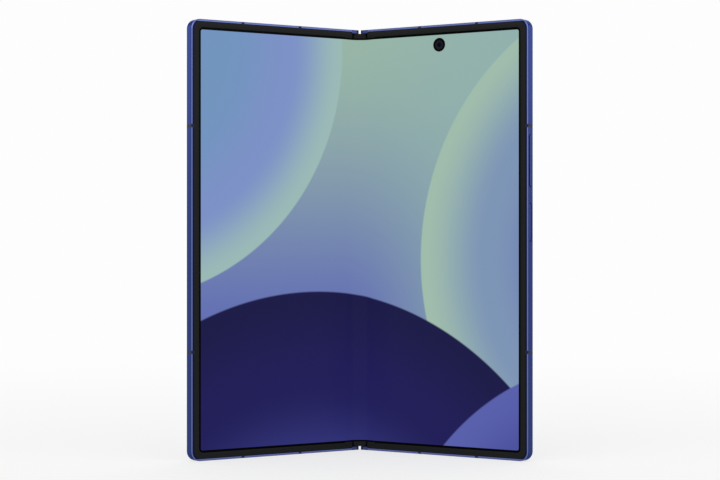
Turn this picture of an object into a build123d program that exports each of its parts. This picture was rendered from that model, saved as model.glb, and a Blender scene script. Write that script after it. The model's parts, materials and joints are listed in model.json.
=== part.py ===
from build123d import *
import os
from math import atan2, ceil, cos, degrees, floor, radians, sin, sqrt, tan

os.makedirs("parts", exist_ok=True)

# A foldable phone that stands open on its bottom edges. Millimetres and degrees.
# The origin is on the ground, at the middle of the standing phone. X runs to the right,
# Y away from the viewer and Z up along the fold.
#
# Both halves are drawn on one plane, as if the phone lay flat: the first coordinate runs
# outwards from the fold, the second up along it, and the third towards the viewer, with 0
# at the bezel face. What belongs to the left half is then mirrored across the fold.

# Whole phone
height = 158.4
half_width = 71.6
thickness = 4.2
corner_radius = 3.5
opening_angle = 114.5
closed_gap = 0.5

# Fold axes, one for each half, behind the bezel face
axis_depth = 0.9
nose_radius = 0.72
seam_gap = 0.05

# Display stack, from the bezel face to the frame's middle plate
trim_thickness = 0.35
display_thickness = 0.5
adhesive = 0.05
plate_thickness = 0.4
rim_width = 0.95
bezel_width = 2.65
lit_corner_radius = 1.0
stack_margin = 0.75
stack_corner_radius = 1.6
bend_reach = 6.5
fit_gap = 0.05

# Frame
rail_wall = 1.3
cavity_wall = 2.1
front_chamfer = 0.45
back_round = 0.4
back_rim = 1.2
bulkhead = 0.85
ledge_depth = 3.35
ledge_width = 5.1
glass_thickness = 0.5
cover_glass_thickness = 0.45
cover_display_thickness = 0.3
post_radius = 1.1

# Spine of the hinge
spine_radius = 2.35
spine_wall = 0.4
spine_rim_drop = 0.3
spine_end_gap = 0.1
block_length = 3.8
cap_length = 1.8
cap_half_width = 3.5
end_clearance = 2.6

# Hinge gears and pins
gear_teeth = 12
gear_radius = 0.6
gear_addendum = 0.09
gear_dedendum = 0.125
tooth_fill = 0.88
flank_angle = 20
gear_face = 0.9
gear_side_gap = 0.1
mesh_margin = 0.6
pin_radius = 0.3
pin_length = 2.9
pin_cover = 0.2
gear_roof = 0.5
shaft_radius = 0.2
running_gap = 0.05
shaft_length = 10.6
spring_turns = 8
spring_wire = 0.14
spring_mean_radius = 0.38
sleeve_radius = 0.5
sleeve_length = 0.8
spine_screw_radius = 0.18
block_screw_drop = 2.6

# Wing plates that sink under the fold of the display as the phone shuts
wing_thickness = 0.15
wing_gap = 0.1
wing_inner = 1.25
wing_pivot = 9.0
wing_bead_radius = 0.3
wing_end_margin = 13.0
wing_closed_tilt = 12.0
bay_floor_depth = 2.75
support_half_width = 0.9
support_thickness = 0.25
support_web = 0.5

# Antenna breaks
break_width = 1.2
break_depth = 1.0
lower_side_break = 39.07
upper_side_break_drop = 38.35
inner_end_break = 26.6
outer_end_break_inset = 20.9

# Keys in the right rail
key_width = 1.6
key_middle = -2.2
key_gap = 0.08
volume_length = 18.6
volume_drop = 50.8
volume_proud = 0.3
rocker_foot = 1.6
rocker_pin_radius = 0.3
power_length = 13.5
power_drop = 72.85
flange_thickness = 0.35
flange_lip = 0.35
key_travel = 0.25
switch_radius = 0.7

# Cameras
selfie_inset = 36.75
selfie_drop = 7.4
selfie_hole_radius = 2.4
selfie_barrel_radius = 2.2
camera_body = 6.4
island_inset = 12.6
island_width = 18.4
island_drop = 15.4
island_rise = 1.4
lens_pitch = 18.6
lens_count = 3
ring_radius = 7.3
ring_width = 1.3
ring_rise = 1.0
lens_cover_thickness = 0.4
barrel_radius = 4.6
module_side = 10.0
flash_radius = 2.2
cover_camera_inset = 33.8
cover_camera_drop = 6.2
cover_camera_radius = 1.8

# Socket, sound and card tray
port_inset = 35.6
port_width = 8.34
port_height = 2.56
port_wall = 0.12
port_length = 6.6
tongue_width = 6.7
tongue_thickness = 0.7
tongue_length = 5.0
grille_hole_radius = 0.45
grille_pitch = 1.7
grille_count = 6
bottom_grille_inset = 12.1
top_grille = 17.5
bottom_microphone_inset = 26.1
top_microphone_inset = 27.6
microphone_hole_radius = 0.3
tray_inset = 3.05
tray_lip = 0.55
tray_rail = 0.3
tray_length = 14.0
tray_thickness = 0.8
tray_face_height = 1.7
tray_depth = 2.3
card_width = 12.3
card_length = 8.8
card_thickness = 0.67

# Boards, batteries and the cables through the hinge
board_depth = 2.0
board_thickness = 0.6
board_inset = 1.2
main_board_length = 57.8
main_board_gap = 2.5
module_gap = 1.5
left_board_length = 22.0
left_board_gap = 18.3
side_space = 3.5
post_inset = 3.0
screw_head_radius = 0.9
screw_head_height = 0.4
screw_shank_radius = 0.45
can_wall = 0.15
can_height = 0.8
right_battery_foot = 22.0
left_battery_foot = 26.0
battery_space = 6.0
battery_gap = 0.55
coil_inner_radius = 11.0
coil_outer_radius = 20.0
coil_thickness = 0.35
speaker_length = 13.5
speaker_half_width = 6.8
motor_radius = 4.6
motor_inset = 15.6
motor_height = 12.0
magnet_foot = 28.0
magnet_key_gap = 13.3
magnet_drop = 20.4
magnet_length = 11.0
magnet_width = 1.8
cable_drops = (37.4, 25.4)
cable_width = 9.6
cable_thickness = 0.12
cable_depth = 2.45
cable_bend_start = 4.9
notch_drop = 1.3
can_start = 17.0
can_inset = 11.5
can_foot = 8.0
can_drop = 15.8
chip_side = 14.0
microphone_side = 2.0
usb_board_width = 26.0
usb_board_length = 11.0
card_corner = 1.6
key_edge = 0.25
cable_clearance = 0.16

# Worked out from the above
half_turn = 180
rest_fold = radians((half_turn - opening_angle) / 2)
axis_x = axis_depth + closed_gap / 2
front_reach = (half_width - axis_x) * sin(rest_fold) + axis_depth * cos(rest_fold)
back_reach = (axis_x - seam_gap) * sin(rest_fold) + (thickness - axis_depth) * cos(rest_fold)
axis_y = (front_reach - back_reach) / 2
outward = Vector(cos(rest_fold), -sin(rest_fold), 0)
facing = Vector(-sin(rest_fold), -cos(rest_fold), 0)
half_origin = Vector(axis_x, axis_y, 0) - outward * axis_x + facing * axis_depth
HALF = Plane(origin=half_origin, x_dir=outward, z_dir=facing)
# Across a rail seen from its end: outwards, then depth behind the bezel face
SECTION = Plane(origin=half_origin, x_dir=outward, z_dir=(0, 0, 1))
# The side rail seen from outside: up, then towards the viewer
SIDE = Plane(origin=half_origin, x_dir=(0, 0, 1), z_dir=outward)
MIDDLE = Plane.XY.offset(height / 2)

display_front = -trim_thickness
display_back = display_front - display_thickness
plate_front = display_back - adhesive
plate_back = plate_front - plate_thickness
glass_seat = -(thickness - glass_thickness)
cover_seat = -(thickness - cover_glass_thickness - cover_display_thickness - adhesive)
lit_edge = rim_width + bezel_width
trim_start = axis_x + end_clearance
bay_edge = trim_start + 0.2
bay_end = wing_pivot + wing_bead_radius + 0.15
cavity_start = bay_end + bulkhead
cavity_end = half_width - cavity_wall
cavity_top = height - cavity_wall
spine_low = rail_wall + spine_end_gap
spine_high = height - spine_low
cap_low = spine_high - cap_length
fold_display_margin = height - cap_low + fit_gap
bay_margin = fold_display_margin - fit_gap
wing_bead_depth = -plate_front + wing_gap / 2 + wing_bead_radius
port_depth = -(display_back + glass_seat) / 2
port_skin = port_wall + fit_gap
port_round = port_height / 2.1
gear_tip = gear_radius + gear_addendum
gear_low = spine_high - gear_roof - gear_face
pin_foot = height - pin_cover - pin_length
idler_drop = sqrt((2 * gear_radius) ** 2 - (axis_x - gear_radius) ** 2)
sector_centres = ((-axis_x, 0), (axis_x, 0))
idler_centres = ((-gear_radius, idler_drop), (gear_radius, idler_drop))
block_screws = (spine_low + block_screw_drop, spine_high - block_screw_drop)
key_root = cavity_end - fit_gap
end_breaks = (inner_end_break, half_width - outer_end_break_inset)
selfie_across = half_width - selfie_inset
island_across = half_width - island_inset
cover_camera_across = half_width - cover_camera_inset
port_across = half_width - port_inset
bottom_grille = half_width - bottom_grille_inset
bottom_microphone = half_width - bottom_microphone_inset
top_microphone = half_width - top_microphone_inset
motor_across = half_width - motor_inset
main_board_edge = island_across - module_side / 2 - module_gap
left_board_edge = cavity_end - side_space
battery_edge = cavity_end - side_space
can_across = (can_start, main_board_edge - can_inset)
camera_heights = [height - island_drop - lens_pitch * n for n in range(lens_count)]
island_middle = height - island_drop - lens_pitch * (lens_count - 1) / 2
island_length = island_width + lens_pitch * (lens_count - 1)
selfie_height = height - selfie_drop
cover_camera_height = height - cover_camera_drop
flash_place = (island_across - island_width / 2 - 2 * flash_radius, camera_heights[0])
side_breaks = (lower_side_break, height - upper_side_break_drop)
volume_middle = height - volume_drop
power_middle = height - power_drop
tray_width = card_width + 2 * tray_rail
tray_face = tray_width + 2 * tray_lip
tray_across = cavity_end - tray_inset - tray_width / 2
main_board_top = cavity_top - main_board_gap
main_board_span = (main_board_top - main_board_length, main_board_top)
left_board_top = cavity_top - left_board_gap
left_board_span = (left_board_top - left_board_length, left_board_top)
right_battery_span = (right_battery_foot, main_board_span[0] - battery_space)
left_battery_span = (left_battery_foot, left_board_span[0] - battery_space)
can_along = (main_board_span[0] + can_foot, main_board_top - can_drop)
cable_rows = [height - drop for drop in cable_drops]
middle_magnet = power_middle - (power_length + magnet_length) / 2 - magnet_key_gap
magnet_rows = (magnet_foot, middle_magnet, height - magnet_drop)


def block(across, along, through, mode=Mode.ADD):
    """Add a block on the half's plane that fills the three spans."""
    spans = (across, along, through)
    with Locations(HALF.location * Location(tuple(sum(span) / 2 for span in spans))):
        Box(*(abs(span[1] - span[0]) for span in spans), mode=mode)


def post(across, along, through, radius, mode=Mode.ADD):
    """Add a round post that stands square to the half's plane."""
    with Locations(HALF.location * Location((across, along, sum(through) / 2))):
        Cylinder(radius, abs(through[1] - through[0]), mode=mode)


def rounded_panel(start, margin, outer_radius, front, depth, mode=Mode.ADD):
    """Add a panel that is square at the fold and rounded at the two outer corners."""
    wide = half_width - margin - start
    with BuildSketch(HALF.offset(front)) as outline:
        with Locations((start + wide / 2, height / 2)):
            Rectangle(wide, height - 2 * margin)
        fillet(outline.vertices().group_by(Axis.X)[-1], radius=outer_radius)
    extrude(outline.sketch, amount=-depth, mode=mode)


def mirror_to_left():
    """Turn the part being built into its mirror image across the fold."""
    mirror(about=Plane.YZ, mode=Mode.REPLACE)


# ---------------------------------------------------------------- frames of the two halves


def half_shell(back_seat):
    """Metal body of one half: rails, middle plate, hinge bay and back ledge."""
    viewer = Axis(HALF.origin, HALF.z_dir)
    across = Axis(HALF.origin, HALF.x_dir)
    with BuildPart() as shell:
        rounded_panel(seam_gap, 0, corner_radius, 0, thickness)
        front = shell.faces().sort_by(viewer)[-1]
        chamfer(front.edges().sort_by(across)[1:], length=front_chamfer)
        back = shell.faces().sort_by(viewer)[0]
        fillet(back.edges().sort_by(across)[1:], radius=back_round)
        # Rounded nose about the fold axis, above the back ledge
        with BuildSketch(SECTION):
            with BuildLine():
                step = axis_depth - nose_radius
                diagonal = nose_radius * sqrt(0.5)
                Line((axis_x + step, 0), (axis_x, step))
                ThreePointArc(
                    (axis_x, step),
                    (axis_x - diagonal, axis_depth - diagonal),
                    (axis_x - nose_radius, axis_depth),
                )
                Polyline(
                    (axis_x - nose_radius, axis_depth),
                    (axis_x - nose_radius, ledge_depth),
                    (-seam_gap, ledge_depth),
                    (-seam_gap, -seam_gap),
                    (axis_x + step, -seam_gap),
                    (axis_x + step, 0),
                )
            make_face()
        extrude(amount=height, mode=Mode.SUBTRACT)
        # Room for the spine, the display stack, the back cover and the inner pieces
        block((0, bay_edge), (rail_wall, height - rail_wall), (0, -ledge_depth), Mode.SUBTRACT)
        pocket_radius = corner_radius - rim_width
        rounded_panel(trim_start - fit_gap, rim_width, pocket_radius, 0, -plate_front, Mode.SUBTRACT)
        pocket_radius = corner_radius - back_rim
        cover_depth = thickness + back_seat
        rounded_panel(ledge_width, back_rim, pocket_radius, back_seat, cover_depth, Mode.SUBTRACT)
        inner = (cavity_wall, cavity_top)
        block((cavity_start, cavity_end), inner, (plate_back, -thickness), Mode.SUBTRACT)
        # Bay under the wing plate, with the groove that its bead turns in
        with BuildSketch(SECTION.offset(bay_margin)):
            with BuildLine():
                Polyline(
                    (bay_edge, 0),
                    (bay_end, 0),
                    (bay_end, wing_bead_depth + wing_bead_radius / 2),
                    (wing_pivot - 2 * wing_bead_radius, wing_bead_depth + wing_bead_radius / 2),
                    (wing_pivot - 2 * wing_bead_radius, bay_floor_depth),
                    (bay_edge, bay_floor_depth),
                    close=True,
                )
            make_face()
            with Locations((wing_pivot, wing_bead_depth)):
                Circle(wing_bead_radius + running_gap)
        extrude(amount=height - 2 * bay_margin, mode=Mode.SUBTRACT)
    return shell


def break_slabs():
    """Slabs across the rails where plastic parts the metal."""
    with BuildPart() as slabs:
        through = (1, -thickness - 1)
        for middle in side_breaks:
            along = (middle - break_width / 2, middle + break_width / 2)
            block((half_width - break_depth, half_width + 1), along, through)
        for middle in end_breaks:
            across = (middle - break_width / 2, middle + break_width / 2)
            block(across, (-1, break_depth), through)
            block(across, (height - break_depth, height + 1), through)
    return slabs


def end_holes(middle, count, radius, top):
    """Drill a row of round holes through the top or the bottom rail."""
    start = cavity_top if top else 0
    with BuildSketch(SECTION.offset(start)) as holes:
        with Locations((middle, thickness / 2)):
            with GridLocations(grille_pitch, 1, count, 1):
                Circle(radius)
    extrude(holes.sketch, amount=cavity_wall, mode=Mode.SUBTRACT)


slabs = break_slabs()
right_shell = half_shell(glass_seat)
left_shell = half_shell(cover_seat)


def board_places(edge, span):
    """Places of the four screws of a board, one near each corner."""
    return [
        (across, along)
        for across in (cavity_start + board_inset + post_inset, edge - post_inset)
        for along in (span[0] + post_inset, span[1] - post_inset)
    ]


def frame_details(screws):
    """Posts for a board, slots for the hinge cables and bores for the pivot pins."""
    for across, along in screws:
        post(across, along, (plate_back, -board_depth), post_radius)
        post(across, along, (plate_back, -board_depth), screw_shank_radius, Mode.SUBTRACT)
    for middle in cable_rows:
        along = (middle - cable_width / 2 - fit_gap, middle + cable_width / 2 + fit_gap)
        through = (-cable_depth - cable_thickness, -cable_depth + cable_thickness)
        block((wing_pivot - 1, cavity_start), along, through, Mode.SUBTRACT)
    for low in (0, height - rail_wall):
        start = low if low else pin_cover
        with BuildSketch(Plane.XY.offset(start)) as bore:
            with Locations((axis_x, axis_y)):
                Circle(pin_radius)
        extrude(bore.sketch, amount=rail_wall - pin_cover, mode=Mode.SUBTRACT)


right_screws = board_places(main_board_edge, main_board_span)
left_screws = board_places(left_board_edge, left_board_span)

with BuildPart() as right_frame:
    add(right_shell.part)
    add(slabs.part, mode=Mode.SUBTRACT)
    # Slots of the two keys
    for middle, length in ((volume_middle, volume_length), (power_middle, power_length)):
        with BuildSketch(SIDE.offset(cavity_end)):
            with Locations((middle, key_middle)):
                SlotOverall(length + 2 * key_gap, key_width + 2 * key_gap)
        extrude(amount=cavity_wall, mode=Mode.SUBTRACT)
    # Mouth of the charging socket and the room for its shell
    with BuildSketch(SECTION):
        with Locations((port_across, port_depth)):
            RectangleRounded(port_width + 2 * port_skin, port_height + 2 * port_wall, port_round)
    extrude(amount=port_length + fit_gap, mode=Mode.SUBTRACT)
    end_holes(bottom_grille, grille_count, grille_hole_radius, False)
    end_holes(bottom_microphone, 1, microphone_hole_radius, False)
    end_holes(top_microphone, 1, microphone_hole_radius, True)
    post(selfie_across, selfie_height, (0, plate_back), selfie_hole_radius, Mode.SUBTRACT)
    frame_details(right_screws)
right_frame.part.label = "right_frame"
export_step(right_frame.part, "parts/right_frame.step")

with BuildPart() as right_antenna_breaks:
    add(right_shell.part)
    add(slabs.part, mode=Mode.INTERSECT)
right_antenna_breaks.part.label = "right_antenna_breaks"
export_step(right_antenna_breaks.part, "parts/right_antenna_breaks.step")

with BuildPart() as left_frame:
    add(left_shell.part)
    add(slabs.part, mode=Mode.SUBTRACT)
    end_holes(top_grille, grille_count, grille_hole_radius, True)
    with BuildSketch(SECTION.offset(cavity_top)):
        with Locations((tray_across, tray_depth)):
            SlotOverall(tray_face + 2 * key_gap, tray_face_height + 2 * key_gap)
    extrude(amount=cavity_wall, mode=Mode.SUBTRACT)
    frame_details(left_screws)
    mirror_to_left()
left_frame.part.label = "left_frame"
export_step(left_frame.part, "parts/left_frame.step")

with BuildPart() as left_antenna_breaks:
    add(left_shell.part)
    add(slabs.part, mode=Mode.INTERSECT)
    mirror_to_left()
left_antenna_breaks.part.label = "left_antenna_breaks"
export_step(left_antenna_breaks.part, "parts/left_antenna_breaks.step")

# ---------------------------------------------------------------- bezel and inner display


def bezel_trim():
    """Raised black trim round the display of one half, open at the fold."""
    trim_radius = corner_radius - rim_width - fit_gap
    with BuildPart() as trim:
        rounded_panel(trim_start, rim_width + fit_gap, trim_radius, 0, trim_thickness)
        rounded_panel(0, lit_edge, lit_corner_radius, 0, trim_thickness, Mode.SUBTRACT)
    return trim


with BuildPart() as right_bezel:
    add(bezel_trim().part)
right_bezel.part.label = "right_bezel"
export_step(right_bezel.part, "parts/right_bezel.step")

with BuildPart() as left_bezel:
    add(bezel_trim().part)
    mirror_to_left()
left_bezel.part.label = "left_bezel"
export_step(left_bezel.part, "parts/left_bezel.step")

stack_edge = rim_width + stack_margin
with BuildPart() as right_display:
    rounded_panel(bend_reach, stack_edge, stack_corner_radius, display_front, display_thickness)
    through = (display_front, display_back)
    post(selfie_across, selfie_height, through, selfie_hole_radius, Mode.SUBTRACT)
right_display.part.label = "right_display"
export_step(right_display.part, "parts/right_display.step")

with BuildPart() as left_display:
    rounded_panel(bend_reach, stack_edge, stack_corner_radius, display_front, display_thickness)
    mirror_to_left()
left_display.part.label = "left_display"
export_step(left_display.part, "parts/left_display.step")


def fold_points(level):
    """Points across the fold of a display layer that lies this far in front of the axes."""
    reach = axis_x + (bend_reach - axis_x) * cos(rest_fold)
    front_level = axis_depth + display_front
    flat_from = reach - front_level * sin(rest_fold)
    end = reach - level * sin(rest_fold)
    steps = 8
    points = []
    for step in range(-steps, steps + 1):
        x = end * step / steps
        share = min(abs(x) / flat_from, 1)
        tilt = rest_fold * share**2 * (3 - 2 * share)
        points.append((x, -(abs(x) - axis_x) * tan(tilt) - level / cos(tilt)))
    return points


with BuildPart() as display_fold_zone:
    with BuildSketch(Plane((0, axis_y, fold_display_margin))):
        with BuildLine():
            face = Spline(*fold_points(axis_depth + display_front))
            back = Spline(*fold_points(axis_depth + display_back))
            Line(face @ 0, back @ 0)
            Line(face @ 1, back @ 1)
        make_face()
    extrude(amount=height - 2 * fold_display_margin)
display_fold_zone.part.label = "display_fold_zone"
export_step(display_fold_zone.part, "parts/display_fold_zone.step")

# ---------------------------------------------------------------- spine of the hinge

spine_inner = spine_radius - spine_wall
SPINE_FOOT = Plane((0, axis_y, spine_low))
FRONT = (Align.CENTER, Align.MAX)
BACK = (Align.CENTER, Align.MIN)

with BuildPart() as spine_cover:
    with BuildSketch(SPINE_FOOT):
        SlotCenterToCenter(2 * axis_x, 2 * spine_radius)
        SlotCenterToCenter(2 * axis_x, 2 * spine_inner, mode=Mode.SUBTRACT)
        with Locations((0, spine_rim_drop)):
            Rectangle(4 * spine_radius, 2 * spine_radius, align=FRONT, mode=Mode.SUBTRACT)
    extrude(amount=spine_high - spine_low)
    # Notches that let the cables over the rim
    with Locations(*((0, axis_y, middle) for middle in cable_rows)):
        Box(4 * spine_radius, 2 * notch_drop, cable_width + 4 * fit_gap, mode=Mode.SUBTRACT)
    # Threads of the two block screws
    with Locations(*((0, axis_y + spine_inner, along) for along in block_screws)):
        Cylinder(spine_screw_radius, spine_wall, rotation=(90, 0, 0), mode=Mode.SUBTRACT)
spine_cover.part.label = "spine_cover"
export_step(spine_cover.part, "parts/spine_cover.step")

block_front = axis_depth + display_front - fit_gap
block_shelf = spine_rim_drop / 2
with BuildPart() as bearing_blocks:
    with BuildSketch(Plane((0, axis_y, spine_high - block_length))):
        SlotCenterToCenter(2 * axis_x, 2 * spine_inner)
        with Locations((0, block_shelf)):
            Rectangle(4 * spine_radius, 2 * spine_radius, align=FRONT, mode=Mode.SUBTRACT)
    extrude(amount=block_length)
    with BuildSketch(Plane((0, axis_y, cap_low))):
        with Locations((0, block_shelf)):
            Rectangle(2 * (axis_x + spine_inner), block_shelf + block_front, align=FRONT)
    extrude(amount=cap_length)
    # Chamber of the four meshing gears
    with BuildSketch(Plane((0, axis_y, gear_low - gear_side_gap))):
        with Locations(*sector_centres, *idler_centres):
            Circle(gear_tip + running_gap)
    extrude(amount=gear_face + 2 * gear_side_gap, mode=Mode.SUBTRACT)
    # Bores of the pins and of the idler shafts
    with BuildSketch(Plane((0, axis_y, pin_foot - fit_gap))):
        with Locations(*sector_centres):
            Circle(pin_radius + running_gap)
    extrude(amount=block_length, mode=Mode.SUBTRACT)
    with BuildSketch(Plane((0, axis_y, spine_high - block_length))):
        with Locations(*idler_centres):
            Circle(shaft_radius + running_gap)
    extrude(amount=block_length - fit_gap, mode=Mode.SUBTRACT)
    with Locations((0, axis_y + block_shelf + spine_inner / 2, block_screws[1])):
        Cylinder(spine_screw_radius, spine_inner, rotation=(90, 0, 0), mode=Mode.SUBTRACT)
    with Locations((0, axis_y + block_shelf, block_screws[1])):
        Cylinder(2 * spine_screw_radius, 2 * spine_screw_radius, rotation=(90, 0, 0), mode=Mode.SUBTRACT)
    mirror(about=MIDDLE)
bearing_blocks.part.label = "bearing_blocks"
export_step(bearing_blocks.part, "parts/bearing_blocks.step")

shank_start = block_shelf + spine_screw_radius
shank_end = spine_inner + spine_wall / 2
with BuildPart() as spine_screws:
    for along in block_screws:
        with Locations((0, axis_y + (shank_start + shank_end) / 2, along)):
            Cylinder(spine_screw_radius, shank_end - shank_start, rotation=(90, 0, 0))
        with Locations((0, axis_y + (block_shelf + shank_start) / 2, along)):
            Cylinder(2 * spine_screw_radius, spine_screw_radius, rotation=(90, 0, 0))
spine_screws.part.label = "spine_screws"
export_step(spine_screws.part, "parts/spine_screws.step")

with BuildPart() as fold_caps:
    with Locations((0, axis_y - axis_depth + trim_thickness / 2, (cap_low + spine_high) / 2)):
        Box(2 * cap_half_width, trim_thickness, cap_length)
    chamfer(fold_caps.edges().filter_by(Axis.Z).group_by(Axis.Y)[0], length=trim_thickness / 2)
    mirror(about=MIDDLE)
fold_caps.part.label = "fold_caps"
export_step(fold_caps.part, "parts/fold_caps.step")

with BuildPart() as center_support_rail:
    with BuildSketch(Plane((0, axis_y, wing_end_margin))):
        with Locations((0, wing_gap)):
            Rectangle(2 * support_half_width, support_thickness, align=BACK)
            Rectangle(support_web, spine_inner - wing_gap, align=BACK)
    extrude(amount=height - 2 * wing_end_margin)
    with Locations(*((0, axis_y + spine_inner, middle) for middle in cable_rows)):
        Box(1, 2 * support_web, cable_width + 4 * fit_gap, mode=Mode.SUBTRACT)
center_support_rail.part.label = "center_support_rail"
export_step(center_support_rail.part, "parts/center_support_rail.step")

# ---------------------------------------------------------------- gears, shafts and springs

tooth_pitch = 360 / gear_teeth


def meshed(tooth_angle, gear, partner):
    """Angle of a tooth on the partner gear when both are in mesh."""
    toward = degrees(atan2(partner[1] - gear[1], partner[0] - gear[0]))
    return 2 * toward + half_turn + tooth_pitch / 2 - tooth_angle


def toothed_wheel(centre, low, tooth_angles):
    """Add a gear wheel, or a sector of one, from this height up."""
    half_tooth = gear_radius * radians(tooth_pitch / 4) * tooth_fill
    slope = tan(radians(flank_angle))
    root = gear_radius - gear_dedendum
    half_root = half_tooth + gear_dedendum * slope
    half_tip = half_tooth - gear_addendum * slope
    corners = ((0, -half_root), (root, -half_root), (gear_tip, -half_tip))
    mirrored = [(across, -along) for across, along in reversed(corners)]
    with BuildSketch(Plane((0, axis_y, low))) as wheel:
        with Locations(centre):
            Circle(root)
        for angle in tooth_angles:
            with Locations(Location((*centre, 0), (0, 0, angle))):
                Polygon(*corners, *mirrored, align=None)
    extrude(wheel.sketch, amount=gear_face)


def sector_angles(tooth_angle, idler, centre, closing):
    """Angles of the teeth that meet the idler between the flat and the shut phone."""
    toward = degrees(atan2(idler[1] - centre[1], idler[0] - centre[0]))
    opened = toward - closing * degrees(rest_fold)
    shut = toward + closing * (90 - degrees(rest_fold))
    first = min(opened, shut) - mesh_margin * tooth_pitch
    last = max(opened, shut) + mesh_margin * tooth_pitch
    start = ceil((first - tooth_angle) / tooth_pitch)
    stop = floor((last - tooth_angle) / tooth_pitch)
    return [tooth_angle + tooth_pitch * step for step in range(start, stop + 1)]


left_centre, right_centre = sector_centres
left_idler, right_idler = idler_centres
right_idler_tooth = half_turn
left_idler_tooth = meshed(right_idler_tooth, right_idler, left_idler)
right_tooth = meshed(right_idler_tooth, right_idler, right_centre)
left_tooth = meshed(left_idler_tooth, left_idler, left_centre)


def pivot_pins(centre, tooth_angles):
    """Two pins, one for each end of the spine, each with its toothed sector."""
    with BuildPart() as pins:
        with BuildSketch(Plane((0, axis_y, pin_foot))):
            with Locations(centre):
                Circle(pin_radius)
        extrude(amount=pin_length)
        toothed_wheel(centre, gear_low, tooth_angles)
        mirror(about=MIDDLE)
    return pins


right_pivot_pins = pivot_pins(right_centre, sector_angles(right_tooth, right_idler, right_centre, 1))
right_pivot_pins.part.label = "right_pivot_pins"
export_step(right_pivot_pins.part, "parts/right_pivot_pins.step")

left_pivot_pins = pivot_pins(left_centre, sector_angles(left_tooth, left_idler, left_centre, -1))
left_pivot_pins.part.label = "left_pivot_pins"
export_step(left_pivot_pins.part, "parts/left_pivot_pins.step")

shaft_top = spine_high - 2 * fit_gap
shaft_foot = shaft_top - shaft_length
sleeve_foot = shaft_foot + sleeve_length / 2 + fit_gap
for side, centre, tooth in (
    ("left", left_idler, left_idler_tooth),
    ("right", right_idler, right_idler_tooth),
):
    for end in ("top", "bottom"):
        with BuildPart() as idler_gear:
            with BuildSketch(Plane((0, axis_y, shaft_foot))):
                with Locations(centre):
                    Circle(shaft_radius)
            extrude(amount=shaft_length)
            # Collar that the spring presses its sleeve against
            with BuildSketch(Plane((0, axis_y, shaft_foot))):
                with Locations(centre):
                    Circle(spring_mean_radius)
            extrude(amount=sleeve_length / 2)
            toothed_wheel(centre, gear_low, [tooth + tooth_pitch * n for n in range(gear_teeth)])
            if end == "bottom":
                mirror(about=MIDDLE, mode=Mode.REPLACE)
        idler_gear.part.label = f"idler_gear_{side}_{end}"
        export_step(idler_gear.part, f"parts/idler_gear_{side}_{end}.step")

with BuildPart() as friction_sleeves:
    for centre in idler_centres:
        with BuildSketch(Plane((0, axis_y, sleeve_foot))):
            with Locations(centre):
                Circle(sleeve_radius)
                Rectangle(sleeve_radius, spine_inner - centre[1], align=BACK)
                Circle(shaft_radius + running_gap, mode=Mode.SUBTRACT)
        extrude(amount=sleeve_length)
    mirror(about=MIDDLE)
friction_sleeves.part.label = "friction_sleeves"
export_step(friction_sleeves.part, "parts/friction_sleeves.step")

spring_foot = sleeve_foot + sleeve_length + spring_wire / 2
spring_top = spine_high - block_length - spring_wire / 2
spring_pitch = (spring_top - spring_foot) / spring_turns
with BuildPart() as friction_springs:
    for centre in idler_centres:
        foot = (centre[0], axis_y + centre[1], spring_foot)
        with BuildLine():
            coil = Helix(spring_pitch, spring_top - spring_foot, spring_mean_radius, center=foot)
        with BuildSketch(Plane(coil @ 0, z_dir=coil % 0)):
            Circle(spring_wire / 2)
        sweep(is_frenet=True)
    mirror(about=MIDDLE)
friction_springs.part.label = "friction_springs"
export_step(friction_springs.part, "parts/friction_springs.step")

# ---------------------------------------------------------------- wing plates and cables


def wing_plate():
    """Thin plate under the soft zone of the display, with the bead that it tilts on."""
    tilt = radians(wing_closed_tilt) * degrees(rest_fold) / 90
    lean = outward * cos(tilt) + facing * sin(tilt)
    pivot = HALF.from_local_coords((wing_pivot, wing_end_margin, -wing_bead_depth))
    with BuildPart() as wing:
        with BuildSketch(Plane(pivot, x_dir=lean, z_dir=(0, 0, 1))):
            Circle(wing_bead_radius)
            with Locations((0, -wing_bead_radius)):
                Rectangle(wing_pivot - wing_inner, wing_thickness, align=(Align.MAX, Align.MIN))
        extrude(amount=height - 2 * wing_end_margin)
    return wing


with BuildPart() as right_wing_plate:
    add(wing_plate().part)
right_wing_plate.part.label = "right_wing_plate"
export_step(right_wing_plate.part, "parts/right_wing_plate.step")

with BuildPart() as left_wing_plate:
    add(wing_plate().part)
    mirror_to_left()
left_wing_plate.part.label = "left_wing_plate"
export_step(left_wing_plate.part, "parts/left_wing_plate.step")


def in_half(across, depth):
    """Place of a point of the half's section, seen from above the spine."""
    place = HALF.from_local_coords((across, 0, -depth))
    return (place.X, place.Y - axis_y)


def round_axis(radius, angle):
    """Point about the right fold axis, this many degrees behind the line of the axes."""
    return (axis_x + radius * cos(radians(angle)), radius * sin(radians(angle)))


cable_bottom = spine_inner - cable_clearance
cable_route = [
    in_half(cavity_start + board_inset, cable_depth),
    in_half(cable_bend_start, cable_depth),
    round_axis(spine_radius + 3 * cable_clearance, 7),
    round_axis(spine_radius - cable_clearance, 24),
    round_axis(cable_bottom, 52),
    round_axis(cable_bottom, 90),
]
cable_route += [(-x, y) for x, y in reversed(cable_route)]
with BuildPart() as hinge_flex_cables:
    for middle in cable_rows:
        with BuildSketch(Plane((0, axis_y, middle - cable_width / 2))):
            with BuildLine():
                FilletPolyline(*cable_route, radius=2 * cable_thickness)
            trace(line_width=cable_thickness)
        extrude(amount=cable_width)
hinge_flex_cables.part.label = "hinge_flex_cables"
export_step(hinge_flex_cables.part, "parts/hinge_flex_cables.step")

# ---------------------------------------------------------------- keys of the right rail


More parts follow.
